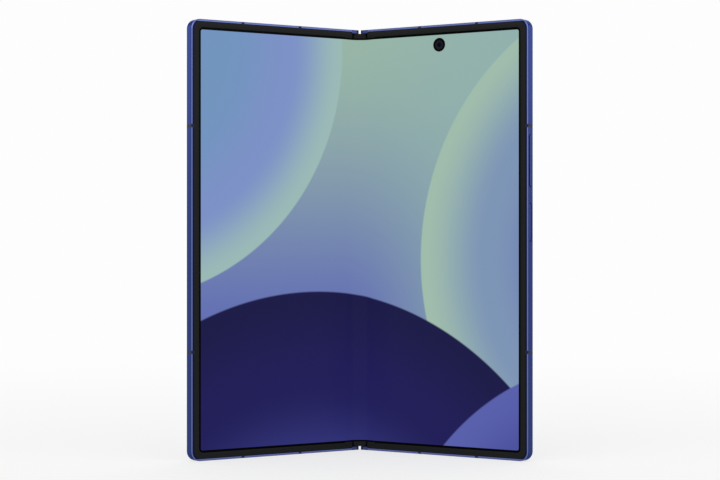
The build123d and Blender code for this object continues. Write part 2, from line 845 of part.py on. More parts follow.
def key_cap(middle, length, proud, flange):
    """One key: a rounded cap through the rail, and a flange behind the rail."""
    with BuildPart() as key:
        with BuildSketch(SIDE.offset(key_root)):
            with Locations((middle, key_middle)):
                SlotOverall(length, key_width)
        extrude(amount=half_width + proud - key_root)
        face = key.faces().sort_by(Axis(HALF.origin, HALF.x_dir))[-1]
        fillet(face.edges(), radius=key_edge)
        with BuildSketch(SIDE.offset(key_root)):
            with Locations((middle, key_middle)):
                Rectangle(flange, key_width)
        extrude(amount=-flange_thickness)
    return key


with BuildPart() as volume_key:
    add(key_cap(volume_middle, volume_length, volume_proud, 2 * rocker_foot).part)
    # The key rocks on a round pin across the middle of its foot
    pin_across = (key_middle - key_width / 2, key_middle + key_width / 2)
    post(key_root - flange_thickness / 2, volume_middle, pin_across, rocker_pin_radius)
volume_key.part.label = "volume_key"
export_step(volume_key.part, "parts/volume_key.step")

power_key = key_cap(power_middle, power_length, 0, power_length + 2 * flange_lip)
power_key.part.label = "power_key"
export_step(power_key.part, "parts/power_key.step")

# Switches stand just clear of the keys, so that a pressed key reaches them
dome_face = key_root - flange_thickness - key_travel - fit_gap / 2
strip_face = dome_face - 2 * flange_thickness
switch_rows = (power_middle, volume_middle - volume_length / 3, volume_middle + volume_length / 3)
with BuildPart() as key_switches:
    across = (strip_face - flange_thickness, strip_face)
    along = (power_middle - power_length / 2, volume_middle + volume_length / 2)
    block(across, along, (plate_back - fit_gap, key_middle - key_width / 2))
    for middle in switch_rows:
        reach = dome_face - strip_face
        if middle != power_middle:
            reach += flange_thickness
        with BuildSketch(SIDE.offset(strip_face)):
            with Locations((middle, key_middle)):
                Circle(switch_radius)
        extrude(amount=reach)
key_switches.part.label = "key_switches"
export_step(key_switches.part, "parts/key_switches.step")

# ---------------------------------------------------------------- cameras and the back cover

with BuildPart() as inner_camera:
    across = (selfie_across - camera_body / 2, selfie_across + camera_body / 2)
    along = (selfie_height - camera_body / 2, selfie_height + camera_body / 2)
    block(across, along, (plate_back - fit_gap, glass_seat + 2 * adhesive))
    barrel = (display_front - fit_gap, plate_back - fit_gap)
    post(selfie_across, selfie_height, barrel, selfie_barrel_radius)
    lens = (display_front - fit_gap, display_back)
    post(selfie_across, selfie_height, lens, selfie_barrel_radius / 2, Mode.SUBTRACT)
inner_camera.part.label = "inner_camera"
export_step(inner_camera.part, "parts/inner_camera.step")


def island_pill(width, front, depth, mode=Mode.ADD):
    """Add a pill as long as the row of lenses and this wide."""
    with BuildSketch(HALF.offset(front)) as pill:
        with Locations((island_across, island_middle)):
            SlotOverall(island_length - island_width + width, width, rotation=90)
    extrude(pill.sketch, amount=-depth, mode=mode)


glass_margin = back_rim + fit_gap
glass_corner = corner_radius - glass_margin
ring_bore = ring_radius - ring_width
with BuildPart() as back_glass:
    start = ledge_width + fit_gap
    rounded_panel(start, glass_margin, glass_corner, glass_seat, glass_thickness)
    island_pill(2 * ring_bore, glass_seat, glass_thickness, Mode.SUBTRACT)
    through = (glass_seat, -thickness)
    post(*flash_place, through, flash_radius + fit_gap, Mode.SUBTRACT)
back_glass.part.label = "back_glass"
export_step(back_glass.part, "parts/back_glass.step")

island_face = -thickness - island_rise
with BuildPart() as camera_island:
    island_pill(island_width, -thickness, island_rise)
    face = camera_island.faces().sort_by(Axis(HALF.origin, HALF.z_dir))[0]
    fillet(face.edges(), radius=island_rise / 3)
    for along in camera_heights:
        post(island_across, along, (-thickness, island_face), ring_bore, Mode.SUBTRACT)
camera_island.part.label = "camera_island"
export_step(camera_island.part, "parts/camera_island.step")

ring_face = island_face - ring_rise
with BuildPart() as lens_rings:
    for along in camera_heights:
        post(island_across, along, (island_face, ring_face), ring_radius)
    faces = lens_rings.faces().sort_by(Axis(HALF.origin, HALF.z_dir))[:lens_count]
    fillet([face.edges()[0] for face in faces], radius=ring_width / 3)
    for along in camera_heights:
        post(island_across, along, (island_face, ring_face), ring_bore, Mode.SUBTRACT)
lens_rings.part.label = "lens_rings"
export_step(lens_rings.part, "parts/lens_rings.step")

cover_front = ring_face + ring_rise / 4 + lens_cover_thickness
with BuildPart() as lens_covers:
    for along in camera_heights:
        through = (cover_front, cover_front - lens_cover_thickness)
        post(island_across, along, through, ring_bore - fit_gap)
lens_covers.part.label = "lens_covers"
export_step(lens_covers.part, "parts/lens_covers.step")

for name, along in zip(("wide", "ultrawide", "telephoto"), camera_heights):
    with BuildPart() as camera_module:
        across = (island_across - module_side / 2, island_across + module_side / 2)
        rise = (along - module_side / 2, along + module_side / 2)
        block(across, rise, (plate_back - fit_gap, glass_seat + fit_gap))
        barrel = (glass_seat + fit_gap, cover_front + fit_gap)
        post(island_across, along, barrel, barrel_radius)
        post(island_across, along, (cover_front - 1, cover_front + 1), barrel_radius / 2, Mode.SUBTRACT)
    camera_module.part.label = f"{name}_camera"
    export_step(camera_module.part, f"parts/{name}_camera.step")

board_back = -board_depth - board_thickness
with BuildPart() as flash_light:
    post(*flash_place, (board_back, -thickness), flash_radius)
flash_light.part.label = "flash_light"
export_step(flash_light.part, "parts/flash_light.step")

# ---------------------------------------------------------------- cover display of the left half

cover_display_front = cover_seat - adhesive
cover_display_back = cover_display_front - cover_display_thickness
with BuildPart() as cover_display:
    start = ledge_width + fit_gap
    rounded_panel(start, glass_margin, glass_corner, cover_display_front, cover_display_thickness)
    through = (cover_display_front, cover_display_back)
    hole = cover_camera_radius + fit_gap
    post(cover_camera_across, cover_camera_height, through, hole, Mode.SUBTRACT)
    mirror_to_left()
cover_display.part.label = "cover_display"
export_step(cover_display.part, "parts/cover_display.step")

with BuildPart() as cover_glass:
    start = ledge_width + fit_gap
    rounded_panel(start, glass_margin, glass_corner, cover_display_back, cover_glass_thickness)
    mirror_to_left()
cover_glass.part.label = "cover_glass"
export_step(cover_glass.part, "parts/cover_glass.step")

with BuildPart() as cover_camera:
    half_body = 1.5 * cover_camera_radius
    across = (cover_camera_across - half_body, cover_camera_across + half_body)
    along = (cover_camera_height - half_body, cover_camera_height + half_body)
    block(across, along, (plate_back - fit_gap, board_back))
    barrel = (board_back, cover_display_back + fit_gap)
    post(cover_camera_across, cover_camera_height, barrel, cover_camera_radius)
    mirror_to_left()
cover_camera.part.label = "cover_camera"
export_step(cover_camera.part, "parts/cover_camera.step")

# ---------------------------------------------------------------- boards, batteries and sound

board_start = cavity_start + board_inset
board_through = (-board_depth, board_back)
inner_front = plate_back - fit_gap


def screw_holes(screws):
    """Clearance holes of a board's screws."""
    for across, along in screws:
        post(across, along, board_through, screw_shank_radius + fit_gap, Mode.SUBTRACT)


def board_screws(screws):
    """Pan-head screws that hold a board down on its posts."""
    with BuildPart() as fasteners:
        for across, along in screws:
            post(across, along, (inner_front, board_back), screw_shank_radius)
            post(across, along, (board_back, board_back - screw_head_height), screw_head_radius)
    return fasteners


with BuildPart() as main_board:
    block((board_start, main_board_edge), main_board_span, board_through)
    notch = camera_body / 2 + 2 * fit_gap
    across = (selfie_across - notch, selfie_across + notch)
    block(across, (selfie_height - notch, height), board_through, Mode.SUBTRACT)
    screw_holes(right_screws)
main_board.part.label = "main_board"
export_step(main_board.part, "parts/main_board.step")

with BuildPart() as left_board:
    block((board_start, left_board_edge), left_board_span, board_through)
    screw_holes(left_screws)
    mirror_to_left()
left_board.part.label = "left_board"
export_step(left_board.part, "parts/left_board.step")

main_board_screws = board_screws(right_screws)
main_board_screws.part.label = "main_board_screws"
export_step(main_board_screws.part, "parts/main_board_screws.step")

with BuildPart() as left_board_screws:
    add(board_screws(left_screws).part)
    mirror_to_left()
left_board_screws.part.label = "left_board_screws"
export_step(left_board_screws.part, "parts/left_board_screws.step")

with BuildPart() as shield_can:
    outer = (board_back, board_back - can_height)
    inner = (board_back, board_back - can_height + can_wall)
    block(can_across, can_along, outer)
    hollow_across = (can_across[0] + can_wall, can_across[1] - can_wall)
    hollow_along = (can_along[0] + can_wall, can_along[1] - can_wall)
    block(hollow_across, hollow_along, inner, Mode.SUBTRACT)
shield_can.part.label = "shield_can"
export_step(shield_can.part, "parts/shield_can.step")

with BuildPart() as processor:
    middle_across = sum(can_across) / 2
    middle_along = sum(can_along) / 2
    across = (middle_across - chip_side / 2, middle_across + chip_side / 2)
    along = (middle_along - chip_side / 2, middle_along + chip_side / 2)
    block(across, along, (inner_front, -board_depth))
processor.part.label = "processor"
export_step(processor.part, "parts/processor.step")

with BuildPart() as right_battery:
    block((board_start, battery_edge), right_battery_span, (inner_front, glass_seat + battery_gap))
right_battery.part.label = "right_battery"
export_step(right_battery.part, "parts/right_battery.step")

with BuildPart() as left_battery:
    block((board_start, battery_edge), left_battery_span, (inner_front, cover_seat + 2 * fit_gap))
    mirror_to_left()
left_battery.part.label = "left_battery"
export_step(left_battery.part, "parts/left_battery.step")

with BuildPart() as charging_coil:
    middle = ((board_start + battery_edge) / 2, sum(right_battery_span) / 2)
    coil_back = glass_seat + fit_gap
    post(*middle, (coil_back + coil_thickness, coil_back), coil_outer_radius)
    post(*middle, (coil_back + coil_thickness, coil_back), coil_inner_radius, Mode.SUBTRACT)
charging_coil.part.label = "charging_coil"
export_step(charging_coil.part, "parts/charging_coil.step")


def speaker_box(middle, foot):
    """Closed sound chamber behind a row of holes."""
    with BuildPart() as speaker:
        across = (middle - speaker_half_width, middle + speaker_half_width)
        block(across, (foot, foot + speaker_length), (inner_front, cover_seat + 4 * fit_gap))
    return speaker


bottom_speaker = speaker_box(bottom_grille, cavity_wall + fit_gap)
bottom_speaker.part.label = "bottom_speaker"
export_step(bottom_speaker.part, "parts/bottom_speaker.step")

with BuildPart() as earpiece_speaker:
    add(speaker_box(top_grille, cavity_top - fit_gap - speaker_length).part)
    mirror_to_left()
earpiece_speaker.part.label = "earpiece_speaker"
export_step(earpiece_speaker.part, "parts/earpiece_speaker.step")

with BuildPart() as microphones:
    for middle, foot in (
        (bottom_microphone, cavity_wall + fit_gap),
        (top_microphone, cavity_top - fit_gap - microphone_side),
    ):
        across = (middle - microphone_side / 2, middle + microphone_side / 2)
        block(across, (foot, foot + microphone_side), (inner_front, board_back))
microphones.part.label = "microphones"
export_step(microphones.part, "parts/microphones.step")

with BuildPart() as vibration_motor:
    post(motor_across, motor_height, (inner_front, cover_seat + 2 * fit_gap), motor_radius)
    mirror_to_left()
vibration_motor.part.label = "vibration_motor"
export_step(vibration_motor.part, "parts/vibration_motor.step")


def closing_magnets():
    """Magnets along the outer edge that hold the shut phone together."""
    with BuildPart() as magnets:
        for middle in magnet_rows:
            across = (cavity_end - fit_gap - magnet_width, cavity_end - fit_gap)
            along = (middle - magnet_length / 2, middle + magnet_length / 2)
            block(across, along, (inner_front, cover_seat + 2 * fit_gap))
    return magnets


right_magnets = closing_magnets()
right_magnets.part.label = "right_magnets"
export_step(right_magnets.part, "parts/right_magnets.step")

with BuildPart() as left_magnets:
    add(closing_magnets().part)
    mirror_to_left()
left_magnets.part.label = "left_magnets"
export_step(left_magnets.part, "parts/left_magnets.step")

# ---------------------------------------------------------------- charging socket and card tray

shell_width = port_width + 2 * port_wall
shell_height = port_height + 2 * port_wall - fit_gap
shell_round = port_round - fit_gap
with BuildPart() as usb_socket:
    with BuildSketch(SECTION):
        with Locations((port_across, port_depth)):
            RectangleRounded(shell_width, shell_height, shell_round)
        offset(amount=-port_wall, mode=Mode.SUBTRACT)
    extrude(amount=port_length)
    with BuildSketch(SECTION.offset(port_length - 2 * port_wall)):
        with Locations((port_across, port_depth)):
            RectangleRounded(port_width + port_wall, port_height, port_round - port_wall)
    extrude(amount=2 * port_wall)
    with BuildSketch(SECTION.offset(port_length - tongue_length)):
        with Locations((port_across, port_depth)):
            Rectangle(tongue_width, tongue_thickness)
    extrude(amount=tongue_length)
usb_socket.part.label = "usb_socket"
export_step(usb_socket.part, "parts/usb_socket.step")

with BuildPart() as usb_board:
    across = (port_across - usb_board_width / 2, port_across + usb_board_width / 2)
    foot = port_length + 2 * fit_gap
    block(across, (foot, foot + usb_board_length), (inner_front, inner_front - board_thickness))
usb_board.part.label = "usb_board"
export_step(usb_board.part, "parts/usb_board.step")

tray_foot = cavity_top - tray_length
tray_front = -tray_depth + tray_thickness / 2
with BuildPart() as sim_tray:
    with BuildSketch(SECTION.offset(cavity_top)):
        with Locations((tray_across, tray_depth)):
            SlotOverall(tray_face, tray_face_height)
    extrude(amount=cavity_wall)
    across = (tray_across - tray_width / 2, tray_across + tray_width / 2)
    block(across, (tray_foot, cavity_top), (tray_front, tray_front - tray_thickness))
    # Recess of the card and the small hole that releases the tray
    card_low = tray_foot + tray_width - card_width
    pocket_across = (tray_across - card_width / 2 - fit_gap, tray_across + card_width / 2 + fit_gap)
    pocket_along = (card_low - fit_gap, card_low + card_length + fit_gap)
    block(pocket_across, pocket_along, (tray_front, tray_front - card_thickness), Mode.SUBTRACT)
    with BuildSketch(SECTION.offset(cavity_top)):
        with Locations((tray_across - tray_face / 3, tray_depth)):
            Circle(tray_face_height / 4)
    extrude(amount=cavity_wall, mode=Mode.SUBTRACT)
    mirror_to_left()
sim_tray.part.label = "sim_tray"
export_step(sim_tray.part, "parts/sim_tray.step")

with BuildPart() as sim_card:
    across = (tray_across - card_width / 2, tray_across + card_width / 2)
    block(across, (card_low, card_low + card_length), (tray_front, tray_front - card_thickness))
    card_edges = sim_card.edges().filter_by(Axis(HALF.origin, HALF.z_dir))
    chamfer(card_edges.sort_by(Axis.Z)[-1], length=card_corner)
    mirror_to_left()
sim_card.part.label = "sim_card"
export_step(sim_card.part, "parts/sim_card.step")

with BuildPart() as sim_reader:
    across = (tray_across - tray_width / 2, tray_across + tray_width / 2)
    block(across, (tray_foot, cavity_top - fit_gap), (inner_front, tray_front + 2 * fit_gap))
    mirror_to_left()
sim_reader.part.label = "sim_reader"
export_step(sim_reader.part, "parts/sim_reader.step")
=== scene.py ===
"""Looks of a foldable phone that stands half open on its bottom edges.

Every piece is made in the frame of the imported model: metres, +Z up along the fold, the inner display towards -Y.
Sizes are in millimetres, in each half's own coordinates: outwards from the fold, up, and out of the display, with
0 at the bezel face.
"""

import json
import logging
import math
from collections.abc import Callable, Iterator
from contextlib import contextmanager
from dataclasses import dataclass, field
from enum import Enum

import bmesh
import bpy
from mathutils import Matrix, Vector


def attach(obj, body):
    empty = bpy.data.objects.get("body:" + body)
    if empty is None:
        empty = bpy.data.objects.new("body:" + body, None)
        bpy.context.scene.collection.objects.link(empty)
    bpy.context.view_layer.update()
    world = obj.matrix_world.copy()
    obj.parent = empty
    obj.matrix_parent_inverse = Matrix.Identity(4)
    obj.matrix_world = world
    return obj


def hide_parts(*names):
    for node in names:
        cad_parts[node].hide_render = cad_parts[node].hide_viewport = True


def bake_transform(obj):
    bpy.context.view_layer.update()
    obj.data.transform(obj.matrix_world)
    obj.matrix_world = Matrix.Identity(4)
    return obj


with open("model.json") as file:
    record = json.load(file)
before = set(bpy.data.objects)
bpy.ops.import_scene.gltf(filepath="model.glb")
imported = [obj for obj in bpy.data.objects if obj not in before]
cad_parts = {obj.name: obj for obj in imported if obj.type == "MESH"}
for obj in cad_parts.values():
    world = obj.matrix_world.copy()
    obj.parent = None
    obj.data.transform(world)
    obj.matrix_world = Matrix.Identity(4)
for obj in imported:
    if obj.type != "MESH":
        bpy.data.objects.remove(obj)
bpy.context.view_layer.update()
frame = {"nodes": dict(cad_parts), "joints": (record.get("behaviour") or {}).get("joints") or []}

log = logging.getLogger("phone")

MM = 0.001
Node = bpy.types.ShaderNode
Tree = bpy.types.ShaderNodeTree
Socket = bpy.types.NodeSocket
Piece = bpy.types.Object
Point = tuple[float, float, float]


class Side(Enum):
    """The two halves of the phone, with the sign of their X."""

    LEFT = -1
    RIGHT = 1

    @property
    def body(self) -> str:
        """Name of the half's body."""
        return f"{self.name.lower()}_half"

    @property
    def word(self) -> str:
        """Word that the half's pieces start with."""
        return self.name.lower()


# ------------------------------------------------------------------ the phone's own frame


@dataclass(frozen=True)
class Fold:
    """Where the two halves stand at rest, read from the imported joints."""

    axis_depth: float = 0.9

    @property
    def joint(self) -> dict:
        """The right half's fold joint."""
        return next(j for j in frame["joints"] if j["name"] == "right_fold")

    @property
    def tilt(self) -> float:
        """Angle of each half from the flat phone, in radians."""
        return math.radians(-self.joint["range_deg"][0])

    @property
    def axis_x(self) -> float:
        """Distance of each fold axis from the middle, in millimetres."""
        return self.joint["pos_m"][0] / MM

    @property
    def axis_y(self) -> float:
        """Depth of the fold axes, in millimetres."""
        return self.joint["pos_m"][1] / MM

    def matrix(self, side: Side) -> Matrix:
        """Matrix from a half's own millimetres to the frame's metres.

        Args:
            side: The half.

        Returns:
            The matrix, which mirrors on the left half.
        """
        cos, sin = math.cos(self.tilt), math.sin(self.tilt)
        out = Vector((cos, -sin, 0))
        face = Vector((-sin, -cos, 0))
        corner = Vector((self.axis_x, self.axis_y, 0)) - out * self.axis_x + face * self.axis_depth
        place = Matrix((out, (0, 0, 1), face)).transposed().to_4x4()
        place.translation = corner
        mirror = Matrix.Diagonal((side.value, 1, 1, 1))
        return Matrix.Scale(MM, 4) @ mirror @ place


FOLD = Fold()

# ------------------------------------------------------------------ modelling by hand


def deselect() -> None:
    """Leave nothing selected."""
    bpy.ops.object.select_all(action="DESELECT")


def name_new(name: str) -> Piece:
    """Name the piece that was just added and put its place into its mesh."""
    piece = bpy.context.object
    piece.name = name
    piece.data.name = name
    bpy.ops.object.transform_apply(location=True, rotation=True, scale=True)
    return piece


def add_block(name: str, low: Point, high: Point) -> Piece:
    """Add a block between two corners.

    Args:
        name: Name of the piece.
        low: Lowest corner.
        high: Highest corner.

    Returns:
        The new piece.
    """
    deselect()
    middle = [(a + b) / 2 for a, b in zip(low, high)]
    size = [b - a for a, b in zip(low, high)]
    bpy.ops.mesh.primitive_cube_add(size=1, location=middle, scale=size)
    return name_new(name)


def turn_piece(
    name: str, seat: Matrix, radius: float, thickness: float, steps: list[tuple[float, float]], sides: int = 96
) -> Piece:
    """Make a round piece as on a lathe: a disc whose outer face is set in and raised step by step.

    Args:
        name: Name of the piece.
        seat: Where the middle of the outer face goes, with Z out of the face.
        radius: Radius of the disc.
        thickness: Its thickness before the steps.
        steps: How far each step is set in, and how far it rises or sinks.
        sides: Sides of the outline.

    Returns:
        The new piece.
    """
    deselect()
    bpy.ops.mesh.primitive_cylinder_add(
        vertices=sides, radius=radius, depth=thickness, location=(0, 0, -thickness / 2)
    )
    piece = name_new(name)
    with editing(piece, "FACE"):
        pick(piece, "faces", lambda face: middle_of(face).z > -thickness / 4)
        for inset, rise in steps:
            bpy.ops.mesh.inset(thickness=inset, depth=rise)
    piece.data.transform(seat)
    return piece


def dome_steps(radius: float, rise: float, rings: int = 9) -> list[tuple[float, float]]:
    """Steps that raise a round face into a dome.

    Args:
        radius: Radius of the face.
        rise: Height of the dome, or its depth where negative.
        rings: Number of steps.

    Returns:
        The steps for turn_piece.
    """
    angles = [math.radians(84) * n / rings for n in range(rings + 1)]
    return [
        (radius * (math.cos(a) - math.cos(b)), rise * (math.sin(b) - math.sin(a)))
        for a, b in zip(angles, angles[1:])
    ]


@contextmanager
def editing(piece: Piece, mode: str = "EDGE") -> Iterator[None]:
    """Hold one piece in edit mode, with nothing of it selected.

    Args:
        piece: The piece.
        mode: VERT, EDGE or FACE.
    """
    deselect()
    piece.select_set(True)
    bpy.context.view_layer.objects.active = piece
    bpy.ops.object.mode_set(mode="EDIT")
    bpy.ops.mesh.select_mode(type=mode)
    bpy.ops.mesh.select_all(action="DESELECT")
    yield
    bpy.ops.object.mode_set(mode="OBJECT")


def middle_of(item: bmesh.types.BMEdge | bmesh.types.BMFace) -> Vector:
    """Mean place of an edge's or a face's corners."""
    return sum((v.co for v in item.verts), Vector()) / len(item.verts)


def pick(piece: Piece, kind: str, test: Callable) -> None:
    """Select the corners, edges or faces that pass a test, in edit mode.

    Args:
        piece: The piece being edited.
        kind: verts, edges or faces.
        test: Says whether an item is wanted.
    """
    shape = bmesh.from_edit_mesh(piece.data)
    for item in getattr(shape, kind):
        if test(item):
            item.select_set(True)
    bmesh.update_edit_mesh(piece.data)


def bevel_edges(piece: Piece, width: float, segments: int, test: Callable) -> None:
    """Round or chamfer the edges that pass a test.

    Args:
        piece: The piece.
        width: Width of the bevel.
        segments: One for a chamfer, more for a round.
        test: Says whether an edge is wanted.
    """
    with editing(piece):
        pick(piece, "edges", test)
        bpy.ops.mesh.bevel(offset=width, segments=segments, affect="EDGES", clamp_overlap=True)


def bevel_corners(piece: Piece, radius: float, beyond: float, segments: int = 10) -> None:
    """Round the outer corners of a plate that was drawn on a half.

    Args:
        piece: The plate.
        radius: Radius of the corners.
        beyond: Distance from the fold beyond which its upright edges are rounded.
        segments: Flats along each round.
    """

    def outer_corner(edge: bmesh.types.BMEdge) -> bool:
        """Whether an edge runs through the plate at an outer corner."""
        a, b = (v.co for v in edge.verts)
        return abs(a.x - b.x) + abs(a.y - b.y) < 1e-4 and a.x > beyond

    bevel_edges(piece, radius, segments, outer_corner)


def cut(piece: Piece, tool: Piece) -> None:
    """Take the tool's shape away from a piece, and the tool with it."""
    deselect()
    piece.select_set(True)
    bpy.context.view_layer.objects.active = piece
    change = piece.modifiers.new("cut", "BOOLEAN")
    change.operation = "DIFFERENCE"
    change.object = tool
    bpy.ops.object.modifier_apply(modifier=change.name)
    bpy.data.objects.remove(tool)


def join(pieces: list[Piece], name: str) -> Piece:
    """Make one piece of several.

    Args:
        pieces: The pieces, in order.
        name: Name of the result.

    Returns:
        The joined piece.
    """
    deselect()
    for piece in pieces:
        piece.select_set(True)
    bpy.context.view_layer.objects.active = pieces[0]
    bpy.ops.object.join()
    pieces[0].name = name
    pieces[0].data.name = name
    return pieces[0]


def smooth(piece: Piece, degrees: float = 32) -> None:
    """Shade a piece smooth but for its sharp edges."""
    deselect()
    piece.select_set(True)
    bpy.context.view_layer.objects.active = piece
    bpy.ops.object.shade_smooth_by_angle(angle=math.radians(degrees))


def settle(piece: Piece, side: Side, body: str | None = None) -> Piece:
    """Put a piece that was drawn in a half's millimetres in its place, and let it ride there.

    Args:
        piece: The piece.
        side: The half that it was drawn for.
        body: The body that it rides on, where that isn't the half.

    Returns:
        The same piece.
    """
    piece.data.transform(FOLD.matrix(side))
    if side is Side.LEFT:
        piece.data.flip_normals()
    smooth(piece)
    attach(piece, body or side.body)
    return piece


# ------------------------------------------------------------------ colours and node trees


def linear(code: str) -> tuple[float, float, float, float]:
    """Linear colour of an sRGB hex code.

    Args:
        code: Six hex digits after a hash.

    Returns:
        Red, green, blue and an alpha of 1.
    """
    parts = [int(code[i:i + 2], 16) / 255 for i in (1, 3, 5)]
    lights = [p / 12.92 if p <= 0.04045 else ((p + 0.055) / 1.055) ** 2.4 for p in parts]
    return (*lights, 1.0)


def add_node(tree: Tree, kind: str, links: dict | None = None, **settings: object) -> Node:
    """Add a node with its settings and its links.

    Args:
        tree: The node tree.
        kind: Blender's name of the node, without ShaderNode.
        links: Input name or number, to a value or to the output socket that feeds it.
        **settings: Properties of the node.

    Returns:
        The new node.
    """
    node = tree.nodes.new("ShaderNode" + kind)
    for key, value in settings.items():
        setattr(node, key, value)
    for key, value in (links or {}).items():
        if isinstance(value, bpy.types.NodeSocket):
            tree.links.new(value, node.inputs[key])
        else:
            node.inputs[key].default_value = value
    return node


def new_material(name: str) -> tuple[bpy.types.Material, Tree, Node]:
    """Make a material that holds one Principled shader.

    Args:
        name: Name of the real material.

    Returns:
        The material, its tree and its shader.
    """
    material = bpy.data.materials.new(name)
    material.use_nodes = True
    tree = material.node_tree
    return material, tree, tree.nodes["Principled BSDF"]


def object_point(tree: Tree) -> Socket:
    """Place on the object, in metres."""
    return add_node(tree, "TexCoord").outputs["Object"]


def grain(tree: Tree, shader: Node, size: float, depth: float, spread: float, rough: float) -> Socket:
    """Give a shader a fine random grain in its bump and its roughness.

    Args:
        tree: The node tree.
        shader: The Principled shader.
        size: Size of a grain, in millimetres.
        depth: Height of the grain, in millimetres.
        spread: How far the roughness strays.
        rough: Mean roughness.

    Returns:
        The grain's value, from 0 to 1.
    """
    noise = add_node(
        tree, "TexNoise", {"Vector": object_point(tree), "Scale": 1 / (size * MM), "Detail": 2.0}
    )
    value = noise.outputs["Fac"]
    bump = add_node(tree, "Bump", {"Height": value, "Strength": 1.0, "Distance": depth * MM})
    tree.links.new(bump.outputs["Normal"], shader.inputs["Normal"])
    wide = add_node(
        tree, "MapRange", {0: value, 1: 0.3, 2: 0.7, 3: rough - spread, 4: rough + spread}
    )
    tree.links.new(wide.outputs[0], shader.inputs["Roughness"])
    return value


def tint(tree: Tree, shader: Node, value: Socket, dark: str, light: str) -> Socket:
    """Colour a shader between two shades.

    Args:
        tree: The node tree.
        shader: The Principled shader.
        value: Runs from 0 to 1.
        dark: Shade at 0.
        light: Shade at 1.

    Returns:
        The mixed colour.
    """
    mix = add_node(
        tree, "Mix", {0: value, 6: linear(dark), 7: linear(light)}, data_type="RGBA"
    )
    tree.links.new(mix.outputs[2], shader.inputs["Base Color"])
    return mix.outputs[2]


def half_place(tree: Tree) -> tuple[Socket, Socket, Socket]:
    """Place of a point in its half's own millimetres, on either half.

    Args:
        tree: The node tree.

    Returns:
        Distance from the fold, height, and depth out of the bezel face.
    """
    inverse = FOLD.matrix(Side.RIGHT).inverted()
    point = object_point(tree)
    apart = add_node(tree, "VectorMath", {0: point}, operation="ABSOLUTE")
    signed = add_node(tree, "SeparateXYZ", {0: point})
    folded = add_node(tree, "SeparateXYZ", {0: apart.outputs[0]})
    right = add_node(
        tree, "CombineXYZ", {0: folded.outputs["X"], 1: signed.outputs["Y"], 2: signed.outputs["Z"]}
    )
    sockets = []
    for row in inverse[:3]:
        along = add_node(
            tree, "VectorMath", {0: right.outputs[0], 1: tuple(row[:3])}, operation="DOT_PRODUCT"
        )
        sockets.append(add_node(tree, "Math", {0: along.outputs["Value"], 1: row[3]}, operation="ADD").outputs[0])
    return tuple(sockets)


def above(tree: Tree, value: Socket, edge: float, soft: float) -> Socket:
    """Step from 0 to 1 as a value passes an edge.

    Args:
        tree: The node tree.
        value: The value.
        edge: Where the step is.
        soft: Width of the step; where negative, the step falls from 1 to 0.

    Returns:
        The step.
    """
    return add_node(tree, "MapRange", {0: value, 1: edge - soft / 2, 2: edge + soft / 2}).outputs[0]


def both(tree: Tree, first: Socket, second: Socket) -> Socket:
    """Mask that is 1 where two masks are."""
    return add_node(tree, "Math", {0: first, 1: second}, operation="MULTIPLY").outputs[0]


def between(tree: Tree, value: Socket, low: float, high: float, soft: float) -> Socket:
    """Mask that is 1 between two edges.

    Args:
        tree: The node tree.
        value: The value.
        low: Lower edge.
        high: Upper edge.
        soft: Width of each step.

    Returns:
        The mask.
    """
    start, end = above(tree, value, low, soft), above(tree, value, high, soft)
    return add_node(tree, "Math", {0: start, 1: end}, operation="SUBTRACT").outputs[0]


def overlay(tree: Tree, mask: Socket, below: Socket, colour: str) -> Socket:
    """Lay a colour over another one where the mask is 1."""
    return add_node(
        tree, "Mix", {0: mask, 6: below, 7: linear(colour)}, data_type="RGBA"
    ).outputs[2]


# ------------------------------------------------------------------ finishes


@dataclass(frozen=True)
class Anodised:
    """Bead-blasted aluminium, dyed in an anodising bath: a satin metal whose reflections turn navy at the edges."""

    name: str
    dark: str
    light: str
    rough: float = 0.34
    edge: str = "#a3a8bd"

    def make(self) -> bpy.types.Material:
        """Build the material."""
        return self.start()[0]

    def start(self) -> tuple[bpy.types.Material, Tree, Node, Socket]:
        """Build the satin metal, and hand over what a finer finish adds to."""
        material, tree, shader = new_material(self.name)
        shader.inputs["Metallic"].default_value = 1.0
        shader.inputs["Specular Tint"].default_value = linear(self.edge)
        # The blasted grain is about 0.05 mm; it is drawn at 0.25 mm so that it shows
        value = grain(tree, shader, 0.25, 0.0015, 0.03, self.rough)
        return material, tree, shader, tint(tree, shader, value, self.dark, self.light)


@dataclass(frozen=True)
class KeySlot:
    """Outline of one key in the side rail."""

    middle: float
    length: float
    width: float = 1.6
    depth: float = -2.2
    # Width of the painted shadow line round the key
    line: float = 0.2


